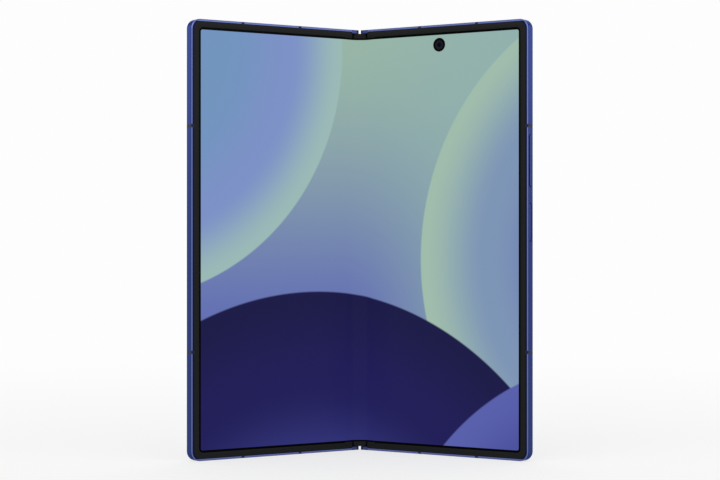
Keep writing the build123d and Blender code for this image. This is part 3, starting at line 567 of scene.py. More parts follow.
@dataclass(frozen=True)
class AnodisedRail(Anodised):
    """The satin metal of the rails, with a painted highlight on the diamond-cut chamfer round the display side, and
    painted shade on its inner rim, beside the chamfer, at the nose ends and round the keys.
    """

    # Lighter blue of the cut face: a painted highlight
    chamfer: str = "#626ca0"
    # Dark blue of the flat rim in front of the cut: painted shade
    rim: str = "#12183a"
    # Dark blue of the band of blasted face behind the cut: painted shade
    shade: str = "#2a3466"
    # Darkest blue of the nose ends, which face each other across the fold: painted shade
    nose: str = "#0d1026"
    chamfer_depth: float = 0.45
    rim_depth: float = 0.12
    rim_end: float = 0.75
    shade_depth: float = 0.85
    height: float = 158.4
    nose_from: float = 3.8
    nose_end: float = 1.5
    nose_depth: float = 0.9
    slots: tuple[KeySlot, ...] = ()
    # Dark blue of the line round each key: a painted shadow of the gap beside it
    slot_shade: str = "#161c42"

    def make(self) -> bpy.types.Material:
        """Build the material, masked by the place on the half."""
        material, tree, shader, colour = self.start()
        across, up, depth = half_place(tree)
        beyond_nose = above(tree, across, self.nose_from, 0.02)
        # The cut face gets a painted highlight, lighter than the blasted face, and the band of the blasted face
        # beside it gets painted shade
        painted_highlight_face = both(tree, above(tree, depth, -self.chamfer_depth, 0.02), beyond_nose)
        painted_shade_band = both(
            tree, between(tree, depth, -self.shade_depth, -self.chamfer_depth, 0.05), beyond_nose
        )
        # The flat rim in front of the cut gets a dark painted shade, and so do the ends of the noses, which face each
        # other across the fold
        middle = add_node(tree, "Math", {0: up, 1: self.height / 2}, operation="SUBTRACT")
        middle = add_node(tree, "Math", {0: middle.outputs[0]}, operation="ABSOLUTE")
        ends = between(tree, middle.outputs[0], -1.0, self.height / 2 - self.rim_end, 0.02)
        rim = both(tree, both(tree, above(tree, depth, -self.rim_depth, 0.02), beyond_nose), ends)
        nose = both(
            tree, between(tree, across, -self.nose_end, self.nose_end, 0.4), above(tree, depth, -self.nose_depth, 0.6)
        )
        for mask, shade in (
            (painted_shade_band, self.shade), (painted_highlight_face, self.chamfer), (rim, self.rim), (nose, self.nose)
        ):
            colour = overlay(tree, mask, colour, shade)
        # A painted shadow runs as a dark line round each key's slot, for the gap beside the key
        for slot in self.slots:
            colour = overlay(tree, self.slot_line(tree, up, depth, slot), colour, self.slot_shade)
        tree.links.new(colour, shader.inputs["Base Color"])
        return material

    def slot_line(self, tree: Tree, up: Socket, depth: Socket, slot: KeySlot) -> Socket:
        """Mask of the painted shadow line round one key.

        Args:
            tree: The node tree.
            up: Height.
            depth: Depth out of the bezel face.
            slot: The key's outline.

        Returns:
            1 on the line.
        """
        along = add_node(tree, "Math", {0: up, 1: slot.middle}, operation="SUBTRACT")
        along = add_node(tree, "Math", {0: along.outputs[0]}, operation="ABSOLUTE")
        straight = (slot.length - slot.width) / 2
        along = add_node(tree, "Math", {0: along.outputs[0], 1: straight}, operation="SUBTRACT")
        along = add_node(tree, "Math", {0: along.outputs[0], 1: 0.0}, operation="MAXIMUM")
        beside = add_node(tree, "Math", {0: depth, 1: slot.depth}, operation="SUBTRACT")
        place = add_node(tree, "CombineXYZ", {0: along.outputs[0], 1: beside.outputs[0]})
        reach = add_node(tree, "VectorMath", {0: place.outputs[0]}, operation="LENGTH").outputs["Value"]
        return between(tree, reach, slot.width / 2 - 0.03, slot.width / 2 + slot.line, 0.02)


@dataclass(frozen=True)
class Plastic:
    """Injection-moulded plastic with the fine spark texture of its mould."""

    name: str
    dark: str
    light: str
    rough: float = 0.45
    texture: float = 0.25
    relief: float = 0.004
    specular: float = 0.5

    def make(self) -> bpy.types.Material:
        """Build the material."""
        material, tree, shader = new_material(self.name)
        shader.inputs["Specular IOR Level"].default_value = self.specular
        value = grain(tree, shader, self.texture, self.relief, 0.05, self.rough)
        tint(tree, shader, value, self.dark, self.light)
        return material


@dataclass(frozen=True)
class Steel:
    """Machined or rolled metal, with tool marks that run along Z."""

    name: str
    dark: str
    light: str
    rough: float = 0.3
    pitch: float = 0.08

    def make(self) -> bpy.types.Material:
        """Build the material."""
        material, tree, shader = new_material(self.name)
        shader.inputs["Metallic"].default_value = 1.0
        stretch = add_node(
            tree, "Mapping", {0: object_point(tree), "Scale": (1.0, 1.0, 0.06)}
        )
        noise = add_node(
            tree, "TexNoise", {"Vector": stretch.outputs[0], "Scale": 1 / (self.pitch * MM), "Detail": 3.0}
        )
        value = noise.outputs["Fac"]
        bump = add_node(tree, "Bump", {"Height": value, "Strength": 1.0, "Distance": 0.003 * MM})
        tree.links.new(bump.outputs["Normal"], shader.inputs["Normal"])
        wide = add_node(
            tree, "MapRange", {0: value, 3: self.rough - 0.08, 4: self.rough + 0.08}
        )
        tree.links.new(wide.outputs[0], shader.inputs["Roughness"])
        tint(tree, shader, value, self.dark, self.light)
        return material


@dataclass(frozen=True)
class InkedGlass:
    """Hard glass with black ink printed behind it, apart from the clear round windows of the cameras.

    A panel that is switched off looks as black as the ink, so the whole glass does but for its windows.
    """

    name: str
    windows: tuple[tuple[float, float, float], ...]
    ink: str = "#020203"
    ior: float = 1.5
    specular: float = 0.3
    window_haze: float = 0.1

    def make(self) -> bpy.types.Material:
        """Build the material."""
        material, tree, shader = new_material(self.name)
        shader.inputs["Base Color"].default_value = linear(self.ink)
        shader.inputs["IOR"].default_value = self.ior
        # An anti-reflection coat takes away part of the mirror image
        shader.inputs["Specular IOR Level"].default_value = self.specular
        across, up, _ = half_place(tree)
        place = add_node(tree, "CombineXYZ", {0: across, 1: up})
        solid = None
        for window_across, window_up, radius in self.windows:
            away = add_node(
                tree, "VectorMath", {0: place.outputs[0], 1: (window_across, window_up, 0)}, operation="DISTANCE"
            )
            beyond = above(tree, away.outputs["Value"], radius, 0.02)
            solid = beyond if solid is None else both(tree, solid, beyond)
        alpha = add_node(tree, "MapRange", {0: solid, 3: self.window_haze, 4: 1.0})
        tree.links.new(alpha.outputs[0], shader.inputs["Alpha"])
        # Handling leaves faint smears some millimetres across
        noise = add_node(
            tree, "TexNoise", {"Vector": object_point(tree), "Scale": 1 / (6 * MM), "Detail": 3.0}
        )
        wide = add_node(
            tree, "MapRange", {0: noise.outputs["Fac"], 1: 0.4, 2: 0.8, 3: 0.03, 4: 0.08}
        )
        tree.links.new(wide.outputs[0], shader.inputs["Roughness"])
        return material


@dataclass(frozen=True)
class CoatedLens:
    """Camera lens seen from outside: nearly black, with the violet and green sheen of its anti-reflection coat."""

    name: str
    film: float = 110.0
    spread: float = 15.0

    def make(self) -> bpy.types.Material:
        """Build the material."""
        material, tree, shader = new_material(self.name)
        shader.inputs["Base Color"].default_value = linear("#04050a")
        # Dense lens glass, whose reflection the film nearly cancels
        shader.inputs["IOR"].default_value = 1.8
        # Magnesium fluoride, whose thickness strays at random over each lens
        shader.inputs["Thin Film IOR"].default_value = 1.38
        noise = add_node(tree, "TexNoise", {"Vector": object_point(tree), "Scale": 1 / (4 * MM)})
        film = add_node(
            tree, "MapRange", {0: noise.outputs["Fac"], 3: self.film - self.spread, 4: self.film + self.spread}
        )
        tree.links.new(film.outputs[0], shader.inputs["Thin Film Thickness"])
        shader.inputs["Roughness"].default_value = 0.04
        return material


@dataclass(frozen=True)
class EtchedGlass:
    """Acid-etched glass over a dyed film: a soft matt blue with a fine sparkle below the surface."""

    name: str
    dark: str
    light: str

    def make(self) -> bpy.types.Material:
        """Build the material."""
        material, tree, shader = new_material(self.name)
        value = grain(tree, shader, 0.35, 0.003, 0.05, 0.42)
        tint(tree, shader, value, self.dark, self.light)
        shader.inputs["Specular IOR Level"].default_value = 0.35
        shader.inputs["Coat Weight"].default_value = 0.15
        shader.inputs["Coat Roughness"].default_value = 0.3
        return material


@dataclass(frozen=True)
class Dune:
    """One curved shape of the display's picture, with a crisp rim and a soft inside."""

    centre: tuple[float, float]
    radius: float
    rim: str
    inside: str
    deep: str
    reach: float


@dataclass(frozen=True)
class LitPanel:
    """Flexible light-emitting panel under a polymer film, which shows a picture of soft curved dunes.

    The picture reads the pieces' own map, which lies flat over both halves and the fold: one unit is 100 mm, with 0
    across at the fold and 0 up at the bottom edge.
    """

    name: str
    half_width: float = 0.678
    middle: float = 0.792
    half_height: float = 0.7542
    corner: float = 0.007
    camera: tuple[float, float] = (0.3485, 1.51)
    camera_ring: float = 0.0254
    low: str = "#5f69b6"
    high: str = "#9ab8a9"
    far: str = "#93b3b0"
    dunes: tuple[Dune, ...] = (
        Dune((-1.0, 1.5), 0.92, "#9dbcb8", "#7e93c9", "#7396c0", 0.5),
        Dune((1.25, 0.72), 0.98, "#a2bfae", "#7f97b8", "#666fb6", 0.62),
        Dune((-0.2, -0.62), 1.22, "#1d1c49", "#221f5a", "#3a3d88", 0.75),
        Dune((1.12, -0.62), 1.0, "#5b62ae", "#4a4f9c", "#34377c", 0.6),
    )

    def make(self) -> bpy.types.Material:
        """Build the material."""
        material, tree, shader = new_material(self.name)
        flat = add_node(tree, "UVMap", uv_map="flat").outputs[0]
        across = add_node(tree, "SeparateXYZ", {0: flat})
        rise = add_node(tree, "MapRange", {0: across.outputs["Y"], 1: 0.3, 2: 1.6}, interpolation_type="SMOOTHSTEP")
        side = add_node(tree, "MapRange", {0: across.outputs["X"], 1: -0.1, 2: 0.75}, interpolation_type="SMOOTHSTEP")
        sky = add_node(tree, "Mix", {0: rise.outputs[0], 6: linear(self.low), 7: linear(self.high)}, data_type="RGBA")
        sky = add_node(tree, "Mix", {0: side.outputs[0], 6: sky.outputs[2], 7: linear(self.far)}, data_type="RGBA")
        picture = sky.outputs[2]
        for dune in self.dunes:
            picture = self.lay(tree, flat, picture, dune)
        lit = self.lit_area(tree, flat)
        picture = add_node(
            tree, "Mix", {0: lit, 6: linear("#000000"), 7: picture}, data_type="RGBA"
        ).outputs[2]
        shader.inputs["Base Color"].default_value = linear("#010101")
        tree.links.new(picture, shader.inputs["Emission Color"])
        shader.inputs["Emission Strength"].default_value = 0.97
        shader.inputs["Roughness"].default_value = 0.12
        shader.inputs["Specular IOR Level"].default_value = 0.02
        return material

    def lit_area(self, tree: Tree, flat: Socket) -> Socket:
        """Where the panel is lit: inside its rounded outline, and outside the black ring round the camera.

        Args:
            tree: The node tree.
            flat: Place on the flat display.

        Returns:
            1 where lit, 0 in the black border.
        """
        place = add_node(tree, "VectorMath", {0: flat, 1: (0, self.middle, 0)}, operation="SUBTRACT")
        place = add_node(tree, "VectorMath", {0: place.outputs[0]}, operation="ABSOLUTE")
        inner = (self.half_width - self.corner, self.half_height - self.corner, 0)
        past = add_node(tree, "VectorMath", {0: place.outputs[0], 1: inner}, operation="SUBTRACT")
        past = add_node(tree, "VectorMath", {0: past.outputs[0], 1: (0, 0, 0)}, operation="MAXIMUM")
        reach = add_node(tree, "VectorMath", {0: past.outputs[0]}, operation="LENGTH").outputs["Value"]
        inside = add_node(tree, "Math", {0: 1.0, 1: above(tree, reach, self.corner, 0.0006)}, operation="SUBTRACT")
        away = add_node(tree, "VectorMath", {0: flat, 1: (*self.camera, 0)}, operation="DISTANCE")
        clear = above(tree, away.outputs["Value"], self.camera_ring, 0.0006)
        return add_node(tree, "Math", {0: inside.outputs[0], 1: clear}, operation="MULTIPLY").outputs[0]

    def lay(self, tree: Tree, flat: Socket, below: Socket, dune: Dune) -> Socket:
        """Lay one dune over the picture.

        Args:
            tree: The node tree.
            flat: Place on the flat display.
            below: The picture so far.
            dune: The shape.

        Returns:
            The picture with the dune.
        """
        away = add_node(tree, "VectorMath", {0: flat, 1: (*dune.centre, 0)}, operation="DISTANCE").outputs["Value"]
        # The rim is half a millimetre soft, and its shade runs inwards
        mask = add_node(
            tree, "MapRange", {0: away, 1: dune.radius - 0.003, 2: dune.radius + 0.003, 3: 1.0, 4: 0.0}
        )
        inwards = add_node(
            tree, "MapRange", {0: away, 1: dune.radius, 2: dune.radius - dune.reach, 3: 0.0, 4: 1.0}
        )
        ramp = add_node(tree, "ValToRGB", {0: inwards.outputs[0]})
        ramp.color_ramp.interpolation = "EASE"
        stops = ramp.color_ramp.elements
        stops[0].color = linear(dune.rim)
        stops[1].color = linear(dune.deep)
        stops.new(0.45).color = linear(dune.inside)
        mix = add_node(
            tree, "Mix", {0: mask.outputs[0], 6: below, 7: ramp.outputs[0]}, data_type="RGBA"
        )
        return mix.outputs[2]


@dataclass
class Finishes:
    """All finishes of the phone, each made once."""

    made: dict[str, bpy.types.Material] = field(default_factory=dict)
    # Satin dyed rails, whose chamfer was cut with a diamond tool after blasting and carries a painted highlight
    rail: AnodisedRail = AnodisedRail("anodised_rail", "#3b4678", "#444f84", 0.3)
    key_rail: AnodisedRail = AnodisedRail(
        "anodised_key_rail", "#3b4678", "#444f84", 0.3, slots=(KeySlot(107.6, 18.6), KeySlot(85.55, 13.5))
    )
    spine: Anodised = Anodised("anodised_spine", "#333e78", "#3b4785", 0.36)
    ring: Anodised = Anodised("anodised_lens_ring", "#3d4b90", "#4c5aa2", 0.22)
    # Nylon moulded across the rails, a little duller than the metal
    antenna: Plastic = Plastic("antenna_nylon", "#141a3c", "#1a2148", 0.5, specular=0.15)
    # Black polymer of the trim round the display, nearly matt
    bezel: Plastic = Plastic("bezel_polymer", "#101110", "#151615", 0.5, 0.3, 0.002, 0.12)
    black: Plastic = Plastic("black_polycarbonate", "#101011", "#18181a", 0.5)
    board: Plastic = Plastic("solder_mask", "#0c2c20", "#123a2a", 0.35, 0.6)
    epoxy: Plastic = Plastic("chip_epoxy", "#121213", "#1c1c1e", 0.55)
    film: Plastic = Plastic("polyimide_film", "#7a4a18", "#94602a", 0.35)
    coverlay: Plastic = Plastic("black_coverlay", "#121110", "#1b1918", 0.4, specular=0.3)
    card: Plastic = Plastic("card_pvc", "#d9d8d2", "#e4e3de", 0.3)
    diffuser: Plastic = Plastic("flash_polycarbonate", "#e6dcb4", "#f2ecd4", 0.25, 0.6)
    pouch: Plastic = Plastic("battery_pouch", "#1c1d20", "#26272b", 0.4, 1.2, 0.02)
    steel: Steel = Steel("ground_steel", "#8d8e90", "#a9aaac", 0.3)
    spring: Steel = Steel("spring_steel", "#77787a", "#939496", 0.25)
    rolled: Steel = Steel("rolled_steel", "#54555a", "#6a6b70", 0.35)
    # Hinge blocks that show at the spine's ends are coated black
    blackened: Steel = Steel("blackened_steel", "#26282f", "#30323a", 0.35)
    tinned: Steel = Steel("tinned_steel", "#a4a5a6", "#bcbdbe", 0.3)
    nickel: Steel = Steel("nickel_plate", "#b0afaa", "#c6c5c0", 0.2)
    copper: Steel = Steel("enamelled_copper", "#a35f36", "#c27c4c", 0.3)
    cover: InkedGlass = InkedGlass("inked_cover_glass", ((37.8, 152.2, 1.8),))
    sapphire: InkedGlass = InkedGlass(
        "inked_lens_sapphire", ((59.0, 143.0, 2.6), (59.0, 124.4, 2.6), (59.0, 105.8, 2.6)), ior=1.77, specular=0.1
    )
    lens: CoatedLens = CoatedLens("coated_lens")
    mask: Plastic = Plastic("lens_mask_ink", "#010101", "#030303", 0.3, 0.5, 0.0005, 0.03)
    module: Plastic = Plastic("camera_module_face", "#0b0a0a", "#0f0e0e", 0.4, 0.3, 0.0005, 0.1)
    gold: Steel = Steel("gold_plate", "#b98a2e", "#d3a94c", 0.2)
    etched: EtchedGlass = EtchedGlass("etched_back_glass", "#242f66", "#2b3875")
    panel_off: Plastic = Plastic("dark_panel", "#020203", "#030304", 0.15, 0.4, 0.0001, 0.08)
    panel: LitPanel = LitPanel("lit_display")

    def get(self, finish: str) -> bpy.types.Material:
        """Material of a finish, made the first time that it is asked for."""
        if finish not in self.made:
            self.made[finish] = getattr(self, finish).make()
        return self.made[finish]

    def dress(self, piece: Piece, finish: str) -> None:
        """Give a piece one finish all over."""
        piece.data.materials.clear()
        piece.data.materials.append(self.get(finish))


FINISHES = Finishes()

# ------------------------------------------------------------------ carried-over nodes

DRESSED_NODES = {
    "rail": ("left_frame", "camera_island", "sim_tray"),
    "key_rail": ("right_frame", "volume_key", "power_key"),
    "spine": ("spine_cover",),
    "ring": ("lens_rings",),
    "antenna": ("left_antenna_breaks", "right_antenna_breaks"),
    "bezel": ("fold_caps", "left_bezel", "right_bezel"),
    "black": (
        "bottom_speaker", "earpiece_speaker", "wide_camera", "ultrawide_camera", "telephoto_camera",
        "inner_camera", "cover_camera",
    ),
    "board": ("left_board", "main_board", "usb_board"),
    "epoxy": ("processor",),
    "film": ("key_switches",),
    "coverlay": ("hinge_flex_cables",),
    "card": ("sim_card",),
    "diffuser": ("flash_light",),
    "pouch": ("left_battery", "right_battery"),
    "blackened": ("bearing_blocks",),
    "steel": (
        "center_support_rail", "friction_sleeves", "spine_screws", "left_pivot_pins",
        "right_pivot_pins", "idler_gear_left_top", "idler_gear_left_bottom", "idler_gear_right_top",
        "idler_gear_right_bottom", "left_board_screws", "main_board_screws",
    ),
    "spring": ("friction_springs",),
    "rolled": ("left_wing_plate", "right_wing_plate"),
    "tinned": ("shield_can", "sim_reader", "microphones", "vibration_motor", "usb_socket"),
    "nickel": ("left_magnets", "right_magnets"),
    "copper": ("charging_coil",),
    "cover": ("cover_glass",),
    "sapphire": ("lens_covers",),
    "etched": ("back_glass",),
    "panel_off": ("cover_display",),
    "panel": ("left_display", "right_display", "display_fold_zone"),
}


def dress_nodes() -> None:
    """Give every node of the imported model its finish."""
    for finish, names in DRESSED_NODES.items():
        for name in names:
            FINISHES.dress(frame["nodes"][name], finish)
    log.info("dressed %d nodes", sum(len(names) for names in DRESSED_NODES.values()))


# ------------------------------------------------------------------ inner display


@dataclass
class InnerDisplay:
    """The folding display: a stiff sheet on each half and one soft sheet across the fold."""

    height: float = 158.4
    half_width: float = 71.6
    edge: float = 1.7
    corner: float = 1.6
    face: float = -0.35
    thickness: float = 0.5
    soft_from: float = 6.5
    soft_margin: float = 3.25
    soft_steps: int = 28
    camera: tuple[float, float] = (34.85, 151.0)
    camera_hole: float = 2.4
    map_unit: float = 100.0

    def write_map(self, piece: Piece, across: Callable[[Vector], float]) -> None:
        """Write the flat map that the picture reads.

        Args:
            piece: The sheet, in millimetres.
            across: Gives a corner's distance from the fold on the flat display, with its sign.
        """
        layer = piece.data.uv_layers.get("flat") or piece.data.uv_layers.new(name="flat")
        for loop in piece.data.loops:
            place = piece.data.vertices[loop.vertex_index].co
            layer.data[loop.index].uv = (across(place) / self.map_unit, self.up(place) / self.map_unit)

    def up(self, place: Vector) -> float:
        """Height of a corner on the flat display."""
        return place.y

    def stiff_sheet(self, side: Side) -> Piece:
        """Build the stiff sheet of one half."""
        outer = self.half_width - self.edge
        piece = add_block(
            f"{side.word}_screen",
            (self.soft_from, self.edge, self.face - self.thickness),
            (outer, self.height - self.edge, self.face),
        )

        bevel_corners(piece, self.corner, outer - 0.1)
        if side is Side.RIGHT:
            seat = Matrix.Translation((*self.camera, 1.0))
            cut(piece, turn_piece("hole", seat, self.camera_hole, 4.0, []))
        self.write_map(piece, lambda place: side.value * place.x)
        FINISHES.dress(piece, "panel")
        settle(piece, side)
        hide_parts(f"{side.word}_display")
        return piece

    def soft_sheet(self, side: Side) -> Piece:
        """Build one side of the soft sheet, from the fold's middle to the stiff sheet."""
        low, high = self.soft_margin, self.height - self.soft_margin
        deselect()
        bpy.ops.mesh.primitive_grid_add(
            x_subdivisions=self.soft_steps, y_subdivisions=1, size=1, location=(0.5, (low + high) / 2, self.face)
        )
        bpy.context.object.scale.y = high - low
        piece = name_new(f"fold_screen_{side.word}")
        with editing(piece, "FACE"):
            bpy.ops.mesh.select_all(action="SELECT")
            bpy.ops.mesh.extrude_region_move(TRANSFORM_OT_translate={"value": (0, 0, -self.thickness)})
            bpy.ops.mesh.select_all(action="SELECT")
            bpy.ops.mesh.normals_make_consistent(inside=False)
        self.bend(piece, side)
        FINISHES.dress(piece, "panel")
        smooth(piece)
        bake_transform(piece)
        return piece

    def run_end(self, face: float) -> float:
        """X at which a layer of the soft sheet meets the stiff one, at rest."""
        reach = FOLD.axis_x + (self.soft_from - FOLD.axis_x) * math.cos(FOLD.tilt)
        return reach - (FOLD.axis_depth + face) * math.sin(FOLD.tilt)

    def bend(self, piece: Piece, side: Side) -> None:
        """Bend a flat grid, whose x runs from 0 to 1, over the fold, and write its map.

        The tilt grows smoothly from the middle outwards.

        Args:
            piece: The grid, in millimetres.
            side: The half that it runs to.
        """
        flat_from = self.run_end(self.face)
        flats = []
        for vertex in piece.data.vertices:
            share, up, face = vertex.co
            level = FOLD.axis_depth + face
            x = share * self.run_end(face)
            part = min(x / flat_from, 1.0)
            tilt = FOLD.tilt * part * part * (3 - 2 * part)
            y = FOLD.axis_y - (x - FOLD.axis_x) * math.tan(tilt) - level / math.cos(tilt)
            flats.append(FOLD.axis_x + (x - FOLD.axis_x) / math.cos(tilt) + level * math.tan(tilt))
            vertex.co = (side.value * x, y, up)
        layer = piece.data.uv_layers.new(name="flat") if not piece.data.uv_layers else piece.data.uv_layers[0]
        layer.name = "flat"
        for loop in piece.data.loops:
            up = piece.data.vertices[loop.vertex_index].co.z
            across = side.value * flats[loop.vertex_index]
            layer.data[loop.index].uv = (across / self.map_unit, up / self.map_unit)
        piece.data.transform(Matrix.Scale(MM, 4))
        if side is Side.LEFT:
            piece.data.flip_normals()

    def build(self) -> None:
        """Build the whole display."""
        for side in Side:
            self.stiff_sheet(side)
            soft = self.soft_sheet(side)
            if side is Side.LEFT:
                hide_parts("display_fold_zone")
            log.info("display of the %s half", side.word)


# ------------------------------------------------------------------ bezel


@dataclass
class BezelTrim:
    """The raised polymer trim round one half's display, with eased edges."""

    height: float = 158.4
    half_width: float = 71.6
    margin: float = 0.95
    start: float = 3.75
    opening: float = 2.98
    fold_opening: float = 3.3
    fold_reach: float = 6.9
    depth: float = 0.35
    outer_corner: float = 2.55
    inner_corner: float = 1.6
    ease: float = 0.12

    def build(self, side: Side) -> None:
        """Build the trim of one half."""
        far = self.half_width - self.margin
        piece = add_block(
            f"{side.word}_bezel_trim", (self.start, self.margin, -self.depth), (far, self.height - self.margin, 0)
        )
        bevel_corners(piece, self.outer_corner, far - 0.1, 14)
        inner = self.half_width - self.opening
        window = add_block("window", (self.fold_reach, self.opening, -2), (inner, self.height - self.opening, 2))
        bevel_corners(window, self.inner_corner, inner - 0.1)
        cut(piece, window)
        # Beside the fold the soft sheet ends lower, so the trim reaches further in over it
        beside = (self.fold_reach + 1, self.height - self.fold_opening, 2)
        cut(piece, add_block("window", (self.start - 2, self.fold_opening, -2), beside))

        def window_edge(edge: bmesh.types.BMEdge) -> bool:
            """Whether an edge of the face borders the window."""
            low, high = self.opening - 1e-3, self.height - self.opening + 1e-3
            return all(
                abs(v.co.z) < 1e-4 and v.co.x < inner + 1e-3 and low < v.co.y < high for v in edge.verts
            )

        def rim_edge(edge: bmesh.types.BMEdge) -> bool:
            """Whether an edge of the face lies along the metal rim."""
            middle = middle_of(edge)
            ends = (self.margin + self.outer_corner, self.height - self.margin - self.outer_corner)
            flat = all(abs(v.co.z) < 1e-4 for v in edge.verts)
            corner = middle.x > far - self.outer_corner and not ends[0] < middle.y < ends[1]
            straight = middle.x > far - 1e-3 or min(middle.y, self.height - middle.y) < self.margin + 1e-3
            return flat and (corner or straight)

        bevel_edges(piece, self.ease, 3, window_edge)
        bevel_edges(piece, self.ease / 2, 2, rim_edge)
        FINISHES.dress(piece, "bezel")
        settle(piece, side)
        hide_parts(f"{side.word}_bezel")
        log.info("bezel trim of the %s half", side.word)


# ------------------------------------------------------------------ cameras and flash


def front_seat(across: float, up: float, depth: float) -> Matrix:
    """Seat of a round piece that looks out of the display side."""
    return Matrix.Translation((across, up, depth))


def back_seat(across: float, up: float, depth: float) -> Matrix:
    """Seat of a round piece that looks out of the back."""
    return Matrix.Translation((across, up, depth)) @ Matrix.Rotation(math.pi, 4, "Y")


@dataclass
class RearCamera:
    """What shows in one barrel of the camera island: a stepped baffle round a domed lens."""

    name: str
    up: float
    aperture: float
    across: float = 59.0
    bore_radius: float = 2.25
    bore_floor: float = -4.96

    def build(self) -> None:
        """Build the pieces."""
        outer = self.bore_radius - self.aperture
        steps = [(0.12, 0), (0.001, -0.22), (outer / 3, 0), (0.001, -0.2), (outer / 3, 0), (0.001, -0.15)]
        baffle = turn_piece(
            f"{self.name}_baffle", back_seat(self.across, self.up, self.bore_floor - 0.75), self.bore_radius,
            0.7, steps,
        )
        FINISHES.dress(baffle, "mask")
        settle(baffle, Side.RIGHT)

        lens = turn_piece(
            f"{self.name}_lens", back_seat(self.across, self.up, self.bore_floor - 0.2), self.aperture * 0.92,
            0.06, dome_steps(self.aperture * 0.92, 0.42),
        )
        FINISHES.dress(lens, "lens")
        settle(lens, Side.RIGHT)
        log.info("%s", self.name)


@dataclass
class SmallCamera:
    """The inner or the cover camera: a black printed ring, the grey face of the module and a small coated lens."""

    name: str
    side: Side
    seat: Matrix
    ring_radius: float
    face_radius: float
    lens_radius: float
    lens_rise: float = 0.03
    ring_thickness: float = 0.03
    face_drop: float = 0.01

    def build(self) -> None:
        """Build the pieces."""
        ring = turn_piece(
            f"{self.name}_ring", self.seat, self.ring_radius, self.ring_thickness,
            [(self.ring_radius - self.face_radius, 0), (0.02, -self.face_drop)],
        )
        FINISHES.dress(ring, "mask")
        settle(ring, self.side)
        face = turn_piece(
            f"{self.name}_face", self.seat, self.face_radius - 0.03, 0.02,
            [(self.face_radius - self.lens_radius - 0.1, 0), (0.06, -self.face_drop)],
        )
        FINISHES.dress(face, "module")
        settle(face, self.side)
        lens = turn_piece(
            f"{self.name}_lens", self.seat, self.lens_radius, 0.015,
            dome_steps(self.lens_radius, self.lens_rise, 6), 64,
        )
        FINISHES.dress(lens, "lens")
        settle(lens, self.side)
        log.info("%s", self.name)


@dataclass
class FlashLens:
    """The flash: a clear moulded lens with ring-shaped ridges, flush with the back glass."""

    across: float = 45.4
    up: float = 143.0
    face: float = -4.2
    radius: float = 2.2
    thickness: float = 1.6
    ridges: int = 5
    ridge_depth: float = 0.07

    def build(self) -> None:
        """Build the lens."""
        pitch = (self.radius - 0.35) / (self.ridges + 1)
        steps = [(0.2, 0.0), (0.02, -self.ridge_depth)]
        for _ in range(self.ridges):
            steps += [(pitch - 0.02, self.ridge_depth), (0.02, -self.ridge_depth)]
        piece = turn_piece(
            "flash_lens", back_seat(self.across, self.up, self.face), self.radius, self.thickness, steps
        )
        FINISHES.dress(piece, "diffuser")
        settle(piece, Side.RIGHT)
        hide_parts("flash_light")
        log.info("flash lens")


# ------------------------------------------------------------------ socket and hinge details


@dataclass
class SocketContacts:
    """Gold contacts on both faces of the charging socket's tongue."""

    across: float = 36.0
    depth: float = -2.275
    tongue: float = 0.7
    count: int = 12
    pitch: float = 0.5
    width: float = 0.27
    span: tuple[float, float] = (2.0, 5.4)
    thickness: float = 0.03

    def row(self, face: float) -> Piece:
        """Build the contacts of one face.

        Args:
            face: 1 for the tongue's display side, -1 for its back.

        Returns:
            The row.
        """
        start = self.across - self.pitch * (self.count - 1) / 2
        base = self.depth + face * self.tongue / 2
        outer = base + face * self.thickness
        piece = add_block(
            "contact",
            (start - self.width / 2, self.span[0], min(base, outer)),
            (start + self.width / 2, self.span[1], max(base, outer)),
        )
        bevel_edges(piece, 0.02, 1, lambda edge: (middle_of(edge).z - base) * face > self.thickness * 0.9)
        repeat = piece.modifiers.new("repeat", "ARRAY")
        repeat.count = self.count
        repeat.use_relative_offset = False
        repeat.use_constant_offset = True
        repeat.constant_offset_displace = (self.pitch, 0, 0)
        bpy.ops.object.modifier_apply(modifier=repeat.name)
        return piece

    def build(self) -> None:
        """Build both rows as one piece."""
        piece = join([self.row(1), self.row(-1)], "socket_contacts")
        FINISHES.dress(piece, "gold")
        settle(piece, Side.RIGHT)
        log.info("socket contacts")


@dataclass
class FoldCap:
    """The small cap over one end of the hinge: a raised middle between two grooves that are inked black as painted
    shade.
    """

    end: str
    low: float
    length: float = 1.8
    half_width: float = 3.5
    middle: float = 2.3
    thickness: float = 0.35
    groove: float = 0.2
    ease: float = 0.07

    def build(self) -> None:
        """Build the cap of one end."""
        front = FOLD.axis_y - FOLD.axis_depth
        back = front + self.thickness
        high = self.low + self.length
        plateau = add_block("plateau", (-self.middle, front, self.low), (self.middle, back, high))
        bevel_edges(plateau, self.ease, 2, lambda edge: middle_of(edge).y < front + 1e-4)
        FINISHES.dress(plateau, "bezel")
        # The recessed sides of the cap are dressed in black ink, a painted shade for the grooves
        skirt = add_block(
            "skirt", (-self.half_width, front + self.groove, self.low), (self.half_width, back, high)
        )
        FINISHES.dress(skirt, "mask")
        piece = join([plateau, skirt], f"fold_cap_{self.end}")
        piece.data.transform(Matrix.Scale(MM, 4))
        smooth(piece)
        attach(piece, "spine")
        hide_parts("fold_caps")
        log.info("%s cap of the fold", self.end)


